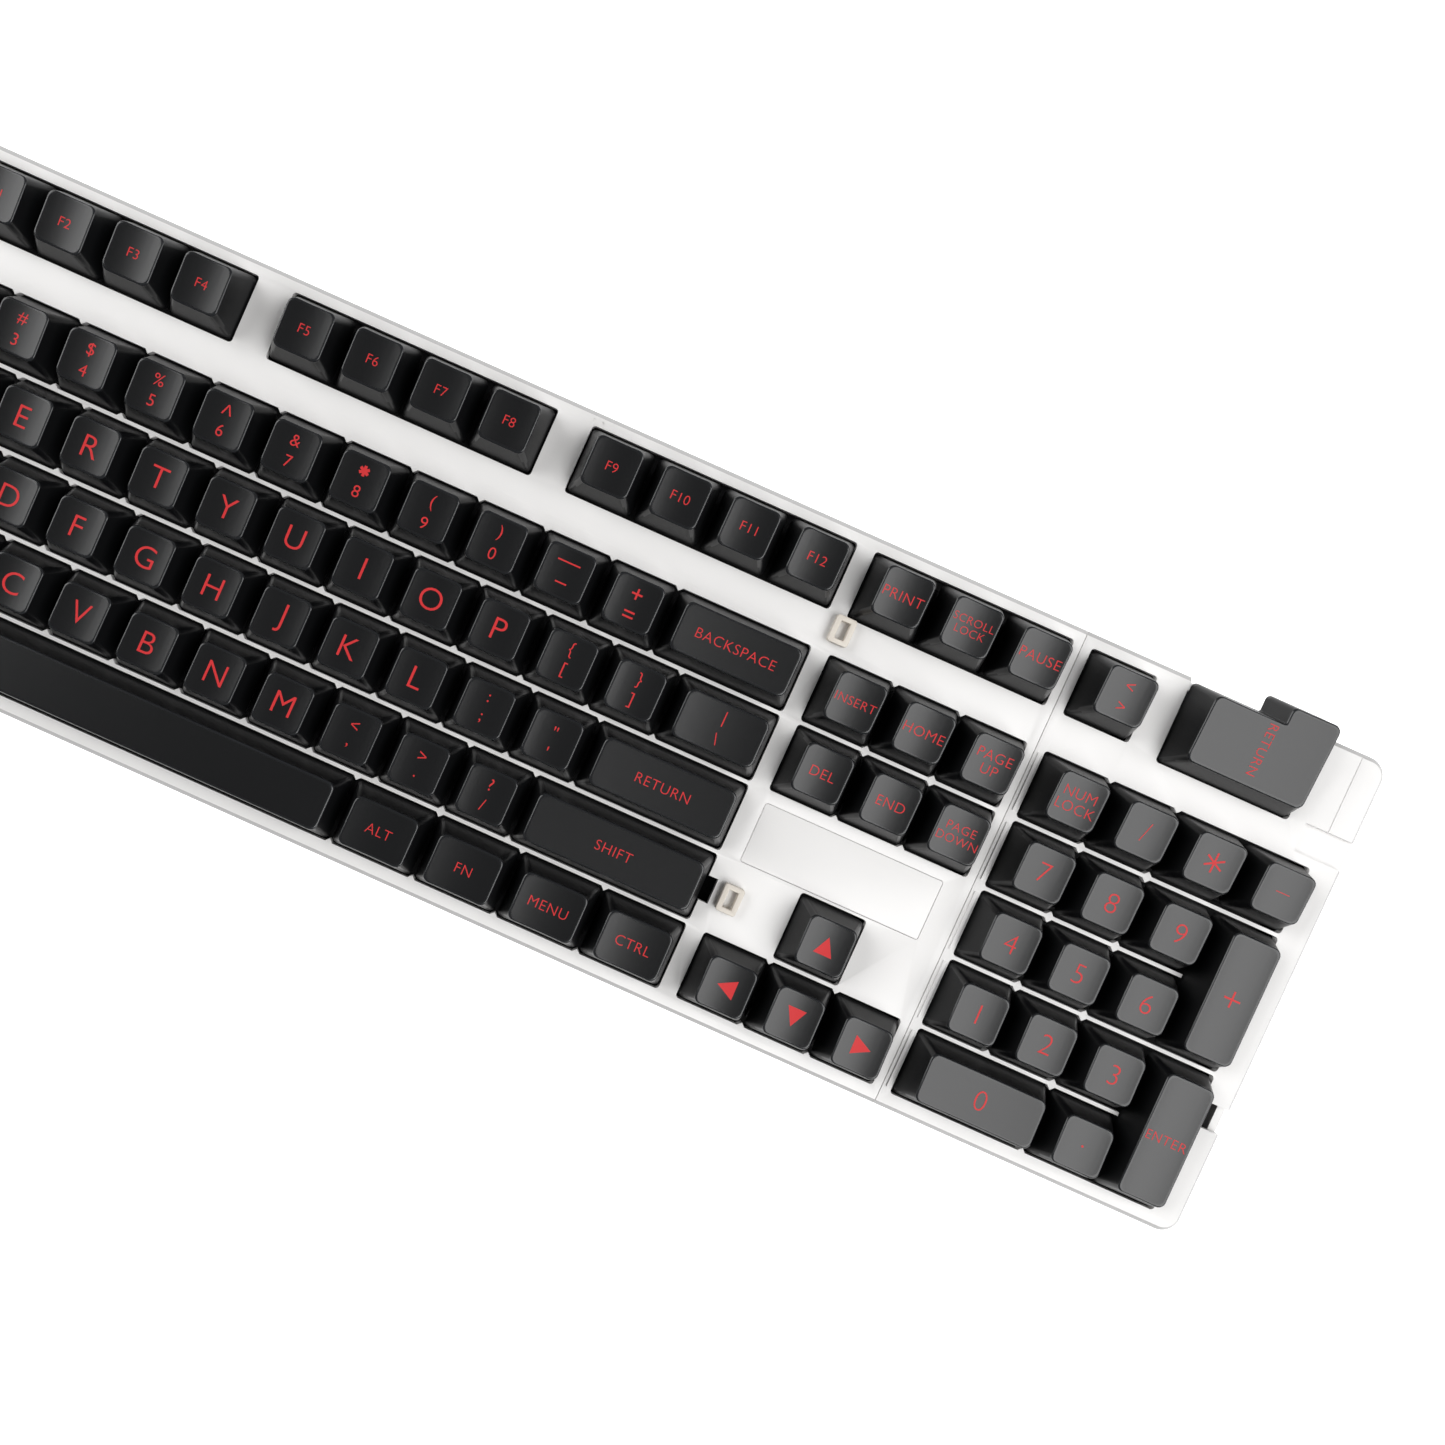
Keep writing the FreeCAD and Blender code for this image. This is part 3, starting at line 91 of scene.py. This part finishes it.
# row: cap height, lean of the top in degrees (rear edge up)
ROWS = {
    "function": (9.8 * MM, 4.0), "number": (9.8 * MM, 4.0), "upper": (9.2 * MM, 2.0),
    "home": (8.8 * MM, 0.0), "lower": (8.8 * MM, -2.5), "bottom": (9.2 * MM, -3.5),
}

# node, row, one legend per cap; two lines are stacked
KEYS = [
    ("key_escape", "function", ["ESC"]),
    ("keys_f1_f4", "function", ["F1", "F2", "F3", "F4"]),
    ("keys_f5_f8", "function", ["F5", "F6", "F7", "F8"]),
    ("keys_f9_f12", "function", ["F9", "F10", "F11", "F12"]),
    ("keys_print_pause", "function", ["PRINT", "SCROLL\nLOCK", "PAUSE"]),
    ("key_angle_brackets", "function", ["<\n>"]),
    ("keys_number_row", "number", ["~\n`", "!\n1", "@\n2", "#\n3", "$\n4", "%\n5", "^\n6", "&\n7",
                                   "*\n8", "(\n9", ")\n0", "\u2014\n\u2013", "+\n="]),
    ("key_backspace", "number", ["BACKSPACE"]),
    ("keys_insert_row", "number", ["INSERT", "HOME", "PAGE\nUP"]),
    ("keys_pad_top", "number", ["NUM\nLOCK", "/", "*"]),
    ("key_pad_minus", "number", ["\u2013"]),
    ("key_tab", "upper", ["TAB"]),
    ("keys_q_row", "upper", list("QWERTYUIOP") + ["{\n[", "}\n]"]),
    ("key_backslash", "upper", ["|\n\\"]),
    ("keys_delete_row", "upper", ["DEL", "END", "PAGE\nDOWN"]),
    ("keys_pad_789", "upper", ["7", "8", "9"]),
    ("key_pad_plus", "upper", ["+"]),
    ("key_caps_lock", "home", ["CAPS\nLOCK"]),
    ("keys_a_row", "home", list("ASDFGHJKL") + [":\n;", "\"\n'"]),
    ("key_return", "home", ["RETURN"]),
    ("keys_pad_456", "home", ["4", "5", "6"]),
    ("key_shift_left", "lower", ["SHIFT"]),
    ("keys_z_row", "lower", list("ZXCVBNM") + ["<\n,", ">\n.", "?\n/"]),
    ("key_shift_right", "lower", ["SHIFT"]),
    ("key_arrow_up", "lower", ["up"]),
    ("keys_pad_123", "lower", ["1", "2", "3"]),
    ("key_pad_enter", "lower", ["ENTER"]),
    ("key_ctrl_left", "bottom", ["CTRL"]),
    ("key_meta", "bottom", ["META"]),
    ("key_alt_left", "bottom", ["ALT"]),
    ("key_space", "bottom", [""]),
    ("key_alt_right", "bottom", ["ALT"]),
    ("key_fn", "bottom", ["FN"]),
    ("key_menu", "bottom", ["MENU"]),
    ("key_ctrl_right", "bottom", ["CTRL"]),
    ("key_arrow_left", "bottom", ["left"]),
    ("key_arrow_down", "bottom", ["down"]),
    ("key_arrow_right", "bottom", ["right"]),
    ("key_pad_zero", "bottom", ["0"]),
    ("key_pad_point", "bottom", ["."]),
    ("key_return_sideways", "function", ["RETURN"]),
]
ARROWS = {"up": 90, "left": 180, "down": 270, "right": 0}


# ---------------------------------------------------------------- materials
def material(name, colour, rough, grain=1500.0, bump=0.1, mottle=0.06, metallic=0.0, specular=0.5,
             highlight_colour=None):
    """Moulded or metal surface: fine grain in the bump, a slow mottle in colour and roughness.

    The last argument is a lighter colour painted along rolled edges as a painted highlight, where the
    mesh carries a per-vertex highlight layer; there the roughness is lowered too.
    """
    mat = bpy.data.materials.new(name)
    mat.use_nodes = True
    nodes, links = mat.node_tree.nodes, mat.node_tree.links
    shader = nodes["Principled BSDF"]
    shader.inputs["Metallic"].default_value = metallic
    shader.inputs["Specular IOR Level"].default_value = specular
    place = nodes.new("ShaderNodeTexCoord")
    slow = nodes.new("ShaderNodeTexNoise")
    slow.inputs["Scale"].default_value = 60.0
    slow.inputs["Detail"].default_value = 4.0
    fine = nodes.new("ShaderNodeTexNoise")
    fine.inputs["Scale"].default_value = grain
    fine.inputs["Detail"].default_value = 6.0
    links.new(place.outputs["Object"], slow.inputs["Vector"])
    links.new(place.outputs["Object"], fine.inputs["Vector"])
    ramp = nodes.new("ShaderNodeValToRGB")
    low = [max(0.0, c * (1 - mottle)) for c in colour]
    high = [min(1.0, c * (1 + mottle)) for c in colour]
    ramp.color_ramp.elements[0].position = 0.3
    ramp.color_ramp.elements[1].position = 0.7
    ramp.color_ramp.elements[0].color = (*low, 1)
    ramp.color_ramp.elements[1].color = (*high, 1)
    links.new(slow.outputs["Fac"], ramp.inputs["Fac"])
    spread = nodes.new("ShaderNodeMapRange")
    spread.inputs["To Min"].default_value = max(0.02, rough - 0.06)
    spread.inputs["To Max"].default_value = min(1.0, rough + 0.06)
    links.new(fine.outputs["Fac"], spread.inputs["Value"])
    colour_out, rough_out = ramp.outputs["Color"], spread.outputs["Result"]
    # painted highlight: the lighter colour is mixed in along rolled edges by the mesh's highlight
    # layer, patchy with the slow noise, and the roughness is lowered there
    if highlight_colour:
        layer = nodes.new("ShaderNodeAttribute")
        layer.attribute_name = "edge_highlight"
        patchy = nodes.new("ShaderNodeMath")
        patchy.operation = "MULTIPLY"
        links.new(layer.outputs["Fac"], patchy.inputs[0])
        links.new(slow.outputs["Fac"], patchy.inputs[1])
        highlight_mix = nodes.new("ShaderNodeMix")
        highlight_mix.data_type = "RGBA"
        links.new(patchy.outputs["Value"], highlight_mix.inputs["Factor"])
        links.new(colour_out, highlight_mix.inputs["A"])
        highlight_mix.inputs["B"].default_value = (*highlight_colour, 1)
        polish = nodes.new("ShaderNodeMath")
        polish.operation = "MULTIPLY_ADD"
        polish.inputs[1].default_value = -0.25
        links.new(patchy.outputs["Value"], polish.inputs[0])
        links.new(rough_out, polish.inputs[2])
        colour_out, rough_out = highlight_mix.outputs["Result"], polish.outputs["Value"]
    links.new(colour_out, shader.inputs["Base Color"])
    links.new(rough_out, shader.inputs["Roughness"])
    raise_ = nodes.new("ShaderNodeBump")
    raise_.inputs["Strength"].default_value = bump
    raise_.inputs["Distance"].default_value = 0.05 * MM
    links.new(fine.outputs["Fac"], raise_.inputs["Height"])
    links.new(raise_.outputs["Normal"], shader.inputs["Normal"])
    return mat


LOOK = {
    # black cap plastic; its lighter edge colour is a painted highlight on the rolled edges
    "keycap_black": material("keycap_black", (0.0040, 0.0042, 0.0048), 0.31, grain=6000, bump=0.2,
                             specular=0.5, highlight_colour=(0.03, 0.032, 0.035)),
    "cover_white": material("cover_white", (0.785, 0.775, 0.765), 0.34, bump=0.04, mottle=0.01),
    "clip_white": material("clip_white", (0.66, 0.61, 0.54), 0.42, bump=0.05, mottle=0.02),
    "case_white": material("case_white", (0.74, 0.74, 0.74), 0.45, grain=3000, bump=0.15, mottle=0.01),
    "plate_black": material("plate_black", (0.008, 0.008, 0.009), 0.6, grain=2500, bump=0.3),
    "board_green": material("board_green", (0.02, 0.12, 0.05), 0.3, mottle=0.2),
    "switch_black": material("switch_black", (0.01, 0.01, 0.011), 0.45),
    "spring_steel": material("spring_steel", (0.55, 0.52, 0.46), 0.25, metallic=1.0),
    "contact_brass": material("contact_brass", (0.72, 0.52, 0.22), 0.3, metallic=1.0),
    "chip_black": material("chip_black", (0.02, 0.02, 0.02), 0.5),
    "socket_steel": material("socket_steel", (0.6, 0.6, 0.6), 0.28, metallic=1.0),
    "screw_steel": material("screw_steel", (0.5, 0.5, 0.5), 0.3, metallic=1.0),
    "pad_rubber": material("pad_rubber", (0.02, 0.02, 0.02), 0.85, bump=0.4),
}
# darker, less glossy copy of the cap plastic for the caps' sides and undersides: painted shade
SHADED_CAP_SIDE = material("keycap_side_painted_shade", (0.0035, 0.0037, 0.0042), 0.42, grain=6000, bump=0.2, specular=0.28)
# darker grey copy of the cover white for its slanted bevels and chamfers: painted shade
SHADED_COVER_EDGE = material("cover_edge_painted_shade", (0.46, 0.455, 0.45), 0.4, bump=0.04, mottle=0.02)
LEGEND = material("legend_red", (0.56, 0.03, 0.033), 0.5, mottle=0.08, bump=0.1, specular=0.2)


# ---------------------------------------------------------------- cap mesh
def rounded(points, radii, steps=5):
    """The outline of a polygon, counter-clockwise, with its corners rounded."""
    out = []
    count = len(points)
    for k in range(count):
        here = Vector(points[k])
        before = (Vector(points[k - 1]) - here).normalized()
        after = (Vector(points[(k + 1) % count]) - here).normalized()
        reach = radii[k]
        start, end = here + before * reach, here + after * reach
        centre = here + (before + after) * reach
        for step in range(steps + 1):
            turn = math.pi / 2 * step / steps
            out.append(centre + (start - centre) * math.cos(turn) + (end - centre) * math.sin(turn))
    return out


def box_points(width, depth):
    def at(inset_x, inset_y):
        a, b = width / 2 - inset_x, depth / 2 - inset_y
        return [(-a, -b), (a, -b), (a, b), (-a, b)]
    return at


def stepped_points(width, short, long_, notch):
    """L outline: short side on the left, notch is where the long side starts."""
    def at(inset_x, inset_y):
        a, low, high = width / 2 - inset_x, -long_ / 2 + inset_y, long_ / 2 - inset_y
        mid = -long_ / 2 + short - inset_y
        return [(-a, low), (a, low), (a, high), (notch + inset_x, high), (notch + inset_x, mid),
                (-a, mid)]
    return at


def dish_surface(half, height, lean, depth):
    """Height of the finger surface over the cap's lower edge at x, y."""
    bend = (half * half + depth * depth) / (2 * depth) if depth else 0
    slope = math.tan(math.radians(lean))

    def at(x, y):
        sag = depth - (bend - math.sqrt(max(bend * bend - x * x, 0.0))) if depth else 0.0
        return height - sag + slope * y
    return at


def add_ring(bm, outline, z):
    return [bm.verts.new((p[0], p[1], z)) for p in outline]


def join_rings(bm, lower, upper):
    count = len(lower)
    for k in range(count):
        bm.faces.new((lower[k], lower[(k + 1) % count], upper[(k + 1) % count], upper[k]))


def add_stack(bm, levels):
    """Closed surface through a list of (outline, z), capped at both ends."""
    rings = [add_ring(bm, outline, z) for outline, z in levels]
    for lower, upper in zip(rings, rings[1:]):
        join_rings(bm, lower, upper)
    bm.faces.new(list(reversed(rings[0])))
    bm.faces.new(rings[-1])


def add_prism(bm, outline, low, high):
    add_stack(bm, [(outline, low), (outline, high)])


def round_outline(radius, count=24):
    return [(radius * math.cos(2 * math.pi * k / count), radius * math.sin(2 * math.pi * k / count))
            for k in range(count)]


def moved(outline, x, y):
    return [(p[0] + x, p[1] + y) for p in outline]


def block_outline(width, depth, x, y):
    return [(x + a * width / 2, y + b * depth / 2) for a, b in ((-1, -1), (1, -1), (1, 1), (-1, 1))]


def add_plunger(bm, x, y, on_switch):
    """Boss of the cap and the plunger or follower in it; z is from the cap's lower edge."""
    add_prism(bm, moved(round_outline(BOSS_RADIUS), x, y), BOSS_LOW, BOSS_HIGH)
    if not on_switch:
        block = block_outline(FOLLOWER, FOLLOWER, x, y)
        add_prism(bm, block, FOLLOWER_LOW, BOSS_LOW)
        return
    room = block_outline(COIL_ROOM, COIL_ROOM, x, y)
    foot = block_outline(FOOT_X, PLUNGER_Y, x, y)
    shaft = block_outline(SHAFT_X, PLUNGER_Y, x, y)
    add_stack(bm, [(room, PLUNGER_LOW + COIL_TALL), (room, PLUNGER_LOW), (foot, PLUNGER_LOW),
                   (foot, PLUNGER_LOW + FOOT_TALL), (shaft, PLUNGER_LOW + FOOT_TALL),
                   (shaft, BOSS_LOW)])


def cap_mesh(name, points, corners, height, surface, stems, cut_span):
    """Closed thin-walled cap: hollow, lower lip, leaning sides, rolled edge and dished top."""
    bm = bmesh.new()
    # per-vertex share of the painted edge highlight, read by the cap material
    edge_highlight = bm.verts.layers.float.new("edge_highlight")
    sharp = [min(r, BASE_CORNER) for r in corners]

    def ring(part, inset, z):
        radii = [s + (c - s) * part for s, c in zip(sharp, corners)]
        outline = points(TAPER[0] / 2 * part + inset, TAPER[1] / 2 * part + inset)
        return add_ring(bm, rounded(outline, [max(r, HEM) for r in radii]), z)

    roof = height - ROOF
    inner_top = ring(roof / height, WALL, roof)
    levels = [inner_top, ring(0, WALL, HEM), ring(0, WALL - HEM, 0), ring(0, HEM, 0), ring(0, 0, HEM)]
    start = 1 - EDGE / height
    for part in (0.12, 0.5, start - HIGHLIGHT_FADE / height):
        levels.append(ring(part, 0, height * part))
    for step in range(6):
        turn = math.pi / 2 * step / 5
        levels.append(ring(start, EDGE * (1 - math.cos(turn)), height - EDGE + EDGE * math.sin(turn)))
        # painted highlight along the rolled edge, strongest halfway round the roll
        for v in levels[-1]:
            v[edge_highlight] = 0.4 + 0.6 * math.sin(2 * turn)
    levels.append(ring(start, EDGE + HIGHLIGHT_FADE, height))
    for lower, upper in zip(levels, levels[1:]):
        join_rings(bm, lower, upper)
    bm.faces.new(list(reversed(inner_top)))
    bm.faces.new(levels[-1])
    cuts = max(8, round(cut_span / CAP_STRIP))
    for k in range(1, cuts):
        x = -cut_span / 2 + cut_span * k / cuts
        bmesh.ops.bisect_plane(bm, geom=bm.verts[:] + bm.edges[:] + bm.faces[:], dist=1e-7,
                               plane_co=(x, 0, 0), plane_no=(1, 0, 0))
    for v in bm.verts:
        share = (v.co.z / height - FADE_FROM) / (1 - EDGE / height - FADE_FROM)
        share = min(max(share, 0.0), 1.0)
        v.co.z += (surface(v.co.x, v.co.y) - height) * share
    for x, y, on_switch in stems:
        add_plunger(bm, x, y, on_switch)
    bmesh.ops.recalc_face_normals(bm, faces=bm.faces)
    mesh = bpy.data.meshes.new(name)
    bm.to_mesh(mesh)
    bm.free()
    mesh.shade_smooth()
    mesh.set_sharp_from_angle(angle=math.radians(38))
    mesh.materials.append(LOOK["keycap_black"])
    mesh.materials.append(SHADED_CAP_SIDE)
    # faces below UPWARD take the darker copy: painted shade on the caps' sides
    for face in mesh.polygons:
        face.material_index = 0 if face.normal.z > UPWARD else 1
    return mesh


def new_object(name, mesh, location=(0, 0, 0)):
    item = bpy.data.objects.new(name, mesh)
    bpy.context.collection.objects.link(item)
    item.location = location
    return item


# ---------------------------------------------------------------- legends
def outline_mesh(text, size, thin, spacing, leading):
    curve = bpy.data.curves.new("glyph", "FONT")
    curve.body = text
    curve.size = size
    curve.align_x = "CENTER"
    curve.align_y = "CENTER"
    curve.space_line = leading
    curve.space_character = spacing
    curve.resolution_u = 5
    curve.offset = -thin
    curve.extrude = LIFT
    item = bpy.data.objects.new("glyph", curve)
    bpy.context.collection.objects.link(item)
    mesh = bpy.data.meshes.new_from_object(item.evaluated_get(bpy.context.evaluated_depsgraph_get()))
    bpy.data.objects.remove(item)
    bpy.data.curves.remove(curve)
    return mesh


def triangle_mesh(turn, size):
    bm = bmesh.new()
    a = math.radians(turn)
    shape = [(0.55, 0.0), (-0.45, 0.52), (-0.45, -0.52)]
    outline = [(size * (x * math.cos(a) - y * math.sin(a)), size * (x * math.sin(a) + y * math.cos(a)))
               for x, y in shape]
    add_prism(bm, outline, -LIFT, LIFT)
    mesh = bpy.data.meshes.new("arrow")
    bm.to_mesh(mesh)
    bm.free()
    return mesh


def star_mesh(size, stroke):
    """Six-armed star of the multiply key."""
    bm = bmesh.new()
    outline = []
    for k in range(6):
        turn = math.radians(60 * k + 30)
        out, side = Vector((math.cos(turn), math.sin(turn))), Vector((-math.sin(turn), math.cos(turn)))
        outline += [out * size - side * stroke / 2, out * size + side * stroke / 2]
        notch = turn + math.radians(30)
        outline.append(Vector((math.cos(notch), math.sin(notch))) * stroke)
    add_prism(bm, outline, -LIFT, LIFT)
    mesh = bpy.data.meshes.new("star")
    bm.to_mesh(mesh)
    bm.free()
    return mesh


def style(node, text):
    """Letter height, stroke thinning, letter spacing and line spacing of a legend."""
    if text == "+":
        return (10.0, 0.16, 1.0, 1.0)
    if "_pad_" in node and text != "ENTER":
        return (4.0, 0.06, 1.05, 0.95) if "\n" in text else (7.8, 0.15, 1.0, 1.0)
    if "\n" in text and len(text) == 3:
        return (4.5, 0.02, 1.0, 1.0)
    if len(text) == 1:
        return (8.5, 0.08, 1.0, 1.0)
    if node.startswith("keys_f"):
        return (3.6, 0.035, 1.05, 1.0)
    return (3.9, 0.05, 1.08, 0.95)


def legend(name, node, text, surface, limit, turned, shift):
    """A legend laid on the dished surface, half its thickness below it; turned reads downwards."""
    bm = bmesh.new()
    lines = text.split("\n") if len(text) == 3 and "\n" in text else [text]
    for k, line in enumerate(lines):
        if line in ARROWS:
            mesh = triangle_mesh(ARROWS[line], ARROW)
        elif line == "*":
            size, stroke = (2.7, 0.5) if len(lines) == 1 else (1.4, 0.8)
            mesh = star_mesh(size * MM, stroke * MM)
        else:
            size, thin, spacing, leading = style(node, text)
            if line == "^":
                size, thin = 1.6 * size, 0.08
            elif line in "\u2014\u2013+=" and len(lines) == 2:
                size, thin = 1.35 * size, 0.0
            mesh = outline_mesh(line, size * MM, thin * MM, spacing, leading)
        if len(lines) == 2:
            ends = [v.co.y for v in mesh.vertices]
            lift = (LINE_OUT, -LINE_OUT)[k] - (min(ends) + max(ends)) / 2
            mesh.transform(Matrix.Translation((0, lift, 0)))
        bm.from_mesh(mesh)
        bpy.data.meshes.remove(mesh)
    low = [min(v.co[k] for v in bm.verts) for k in (0, 1)]
    high = [max(v.co[k] for v in bm.verts) for k in (0, 1)]
    scale = min(1.0, limit / (high[0] - low[0]))
    for v in bm.verts:
        v.co.x = (v.co.x - (low[0] + high[0]) / 2) * scale
        v.co.y = (v.co.y - (low[1] + high[1]) / 2) * scale
        if turned:
            v.co.x, v.co.y = v.co.y, -v.co.x
        v.co.x += shift[0]
        v.co.y += shift[1]
    span = max(abs(v.co.x) for v in bm.verts)
    cuts = max(2, round(2 * span / LEGEND_STRIP))
    for k in range(1, cuts):
        bmesh.ops.bisect_plane(bm, geom=bm.verts[:] + bm.edges[:] + bm.faces[:], dist=1e-7,
                               plane_co=(-span + 2 * span * k / cuts, 0, 0), plane_no=(1, 0, 0))
    for v in bm.verts:
        v.co.z += surface(v.co.x, v.co.y)
    made = bpy.data.meshes.new(name)
    bm.to_mesh(made)
    bm.free()
    made.materials.append(LEGEND)
    return made


# ---------------------------------------------------------------- keys
meshes = {}
for node, row, texts in KEYS:
    low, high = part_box(node)
    height, lean = ROWS[row]
    body = node + "_body"
    count = len(texts)
    width = high.x - low.x - (count - 1) * PITCH
    depth = high.y - low.y
    sideways = node == "key_return_sideways"
    tall = depth > PITCH * 1.1 and not sideways
    if tall:
        lean = 0.0
    wide_key = width > PITCH * 1.9
    reach = STAB_LONG if node == "key_space" else STAB_SHORT
    stems = [(0, 0, True)]
    if wide_key and not sideways:
        stems += [(-reach, 0, False), (reach, 0, False)]
    if tall:
        stems += [(0, -reach, False), (0, reach, False)]
    dish = 0.0 if node == "key_space" else DISH
    half = (width - TAPER[0]) / 2 + DISH_PAST
    surface = dish_surface(half, height, lean, dish)
    for k, text in enumerate(texts):
        spot = (low.x + width / 2 + k * PITCH, (low.y + high.y) / 2, CAP_BOTTOM)
        key = (row if row != "number" else "function", round(width * 1e5), round(depth * 1e5))
        if key not in meshes:
            if sideways:
                shape = stepped_points(width, RETURN_SHORT, depth, RETURN_STEP)
                corners = [TOP_CORNER] * 3 + [STEP_OUTER, STEP_INNER, TOP_CORNER]
            else:
                shape = box_points(width, depth)
                corners = [TOP_CORNER] * 4
            meshes[key] = cap_mesh("cap_" + node, shape, corners, height, surface, stems, width)
        tag = "%s_%d" % (node, k + 1) if count > 1 else node
        cap = new_object("cap_" + tag, meshes[key], spot)
        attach(cap, body)
        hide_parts(node)
        if text:
            limit = RETURN_LEGEND if sideways else (width - TAPER[0]) * LEGEND_SHARE
            shift = RETURN_SHIFT if sideways else (0, 0)
            made = legend("legend_" + tag, node, text, surface, limit, sideways, shift)
            mark = new_object("legend_" + tag, made, spot)
            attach(mark, body)

# ---------------------------------------------------------------- carried CAD nodes
SOFTENED = {"cover_main": 0.35, "cover_number_pad": 0.35, "cover_panel": 0.25, "cover_clips": 0.25,
            "bottom_case": 0.4, "rubber_pads": 0.4, "foot_left": 0.35, "foot_right": 0.35}


def soften(node, body, slot_name, radius):
    """Copy of a CAD shell whose sharp edges are rolled, as on a moulded piece."""
    mesh = frame["nodes"][node].data.copy()
    mesh.name = node + "_moulded"
    bm = bmesh.new()
    bm.from_mesh(mesh)
    bmesh.ops.remove_doubles(bm, verts=bm.verts, dist=2e-6)
    bmesh.ops.dissolve_limit(bm, angle_limit=math.radians(1), verts=bm.verts, edges=bm.edges)
    bm.to_mesh(mesh)
    bm.free()
    item = new_object(node + "_moulded", mesh)
    mesh.shade_smooth()
    roll = item.modifiers.new("roll", "BEVEL")
    roll.width = radius * MM
    roll.segments = 3
    roll.limit_method = "ANGLE"
    roll.angle_limit = math.radians(35)
    roll.use_clamp_overlap = True
    roll.harden_normals = True
    mesh.materials.clear()
    mesh.materials.append(LOOK[slot_name])
    # the white cover's slanted bevels take the darker grey copy: painted shade along its edges
    if slot_name == "cover_white":
        mesh.materials.append(SHADED_COVER_EDGE)
        for face in mesh.polygons:
            face.material_index = 1 if SLANTED < face.normal.z < UPRIGHT else 0
    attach(item, body)
    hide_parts(node)
    return item


body_of = {node: body for body, nodes in frame["record"]["behaviour"]["bodies"].items()
           for node in nodes}
for entry in frame["record"]["subparts"]:
    node, slot_name = entry["node"], entry["material_slot"]
    mesh = frame["nodes"][node].data
    mesh.materials.clear()
    mesh.materials.append(LOOK[slot_name])
    if node in SOFTENED:
        soften(node, body_of[node], slot_name, SOFTENED[node])

# ---------------------------------------------------------------- stage, light and camera
bm = bmesh.new()
add_prism(bm, [(-6, -6), (6, -6), (6, 6), (-6, 6)], -0.01, -0.0002)
floor_mesh = bpy.data.meshes.new("floor")
bm.to_mesh(floor_mesh)
bm.free()
floor = new_object("floor", floor_mesh)
floor_look = material("floor_white", (0.9, 0.9, 0.9), 0.9, grain=40, bump=0.0, mottle=0.004,
                      specular=0.1)
floor_shader = floor_look.node_tree.nodes["Principled BSDF"]
floor_shader.inputs["Emission Color"].default_value = (1, 1, 1, 1)
floor_shader.inputs["Emission Strength"].default_value = 0.6
floor_mesh.materials.append(floor_look)


def softbox(name, spot, size, power):
    """Rectangular light facing the keyboard."""
    lamp = bpy.data.lights.new(name, "AREA")
    lamp.shape = "RECTANGLE"
    lamp.size, lamp.size_y = size
    lamp.energy = power
    item = bpy.data.objects.new(name, lamp)
    bpy.context.collection.objects.link(item)
    item.location = spot
    item.rotation_mode = "QUATERNION"
    item.rotation_quaternion = Vector(spot).to_track_quat("Z", "Y")


softbox("light_key", (-1.45, 0.3, 0.85), (1.2, 1.5), 23)
softbox("light_right", (0.95, -0.1, 1.2), (1.8, 1.1), 27)
world = bpy.data.worlds.new("world")
world.use_nodes = True
sky = world.node_tree.nodes["Background"]
sky.inputs["Color"].default_value = (1.0, 1.0, 1.0, 1.0)
sky.inputs["Strength"].default_value = 0.1
bpy.context.scene.world = world
bpy.context.scene.view_settings.view_transform = "Standard"

lens = bpy.data.cameras.new("camera")
lens.lens = 29.16
lens.sensor_width = 36.0
lens.shift_x = 0.102
lens.shift_y = -0.0225
lens.clip_start = 0.01
camera = bpy.data.objects.new("camera", lens)
bpy.context.collection.objects.link(camera)
camera.location = (0.01961, 0.00358, 0.3309)
camera.rotation_euler = tuple(math.radians(a) for a in (-1.034, 0.531, 24.066))
bpy.context.scene.camera = camera
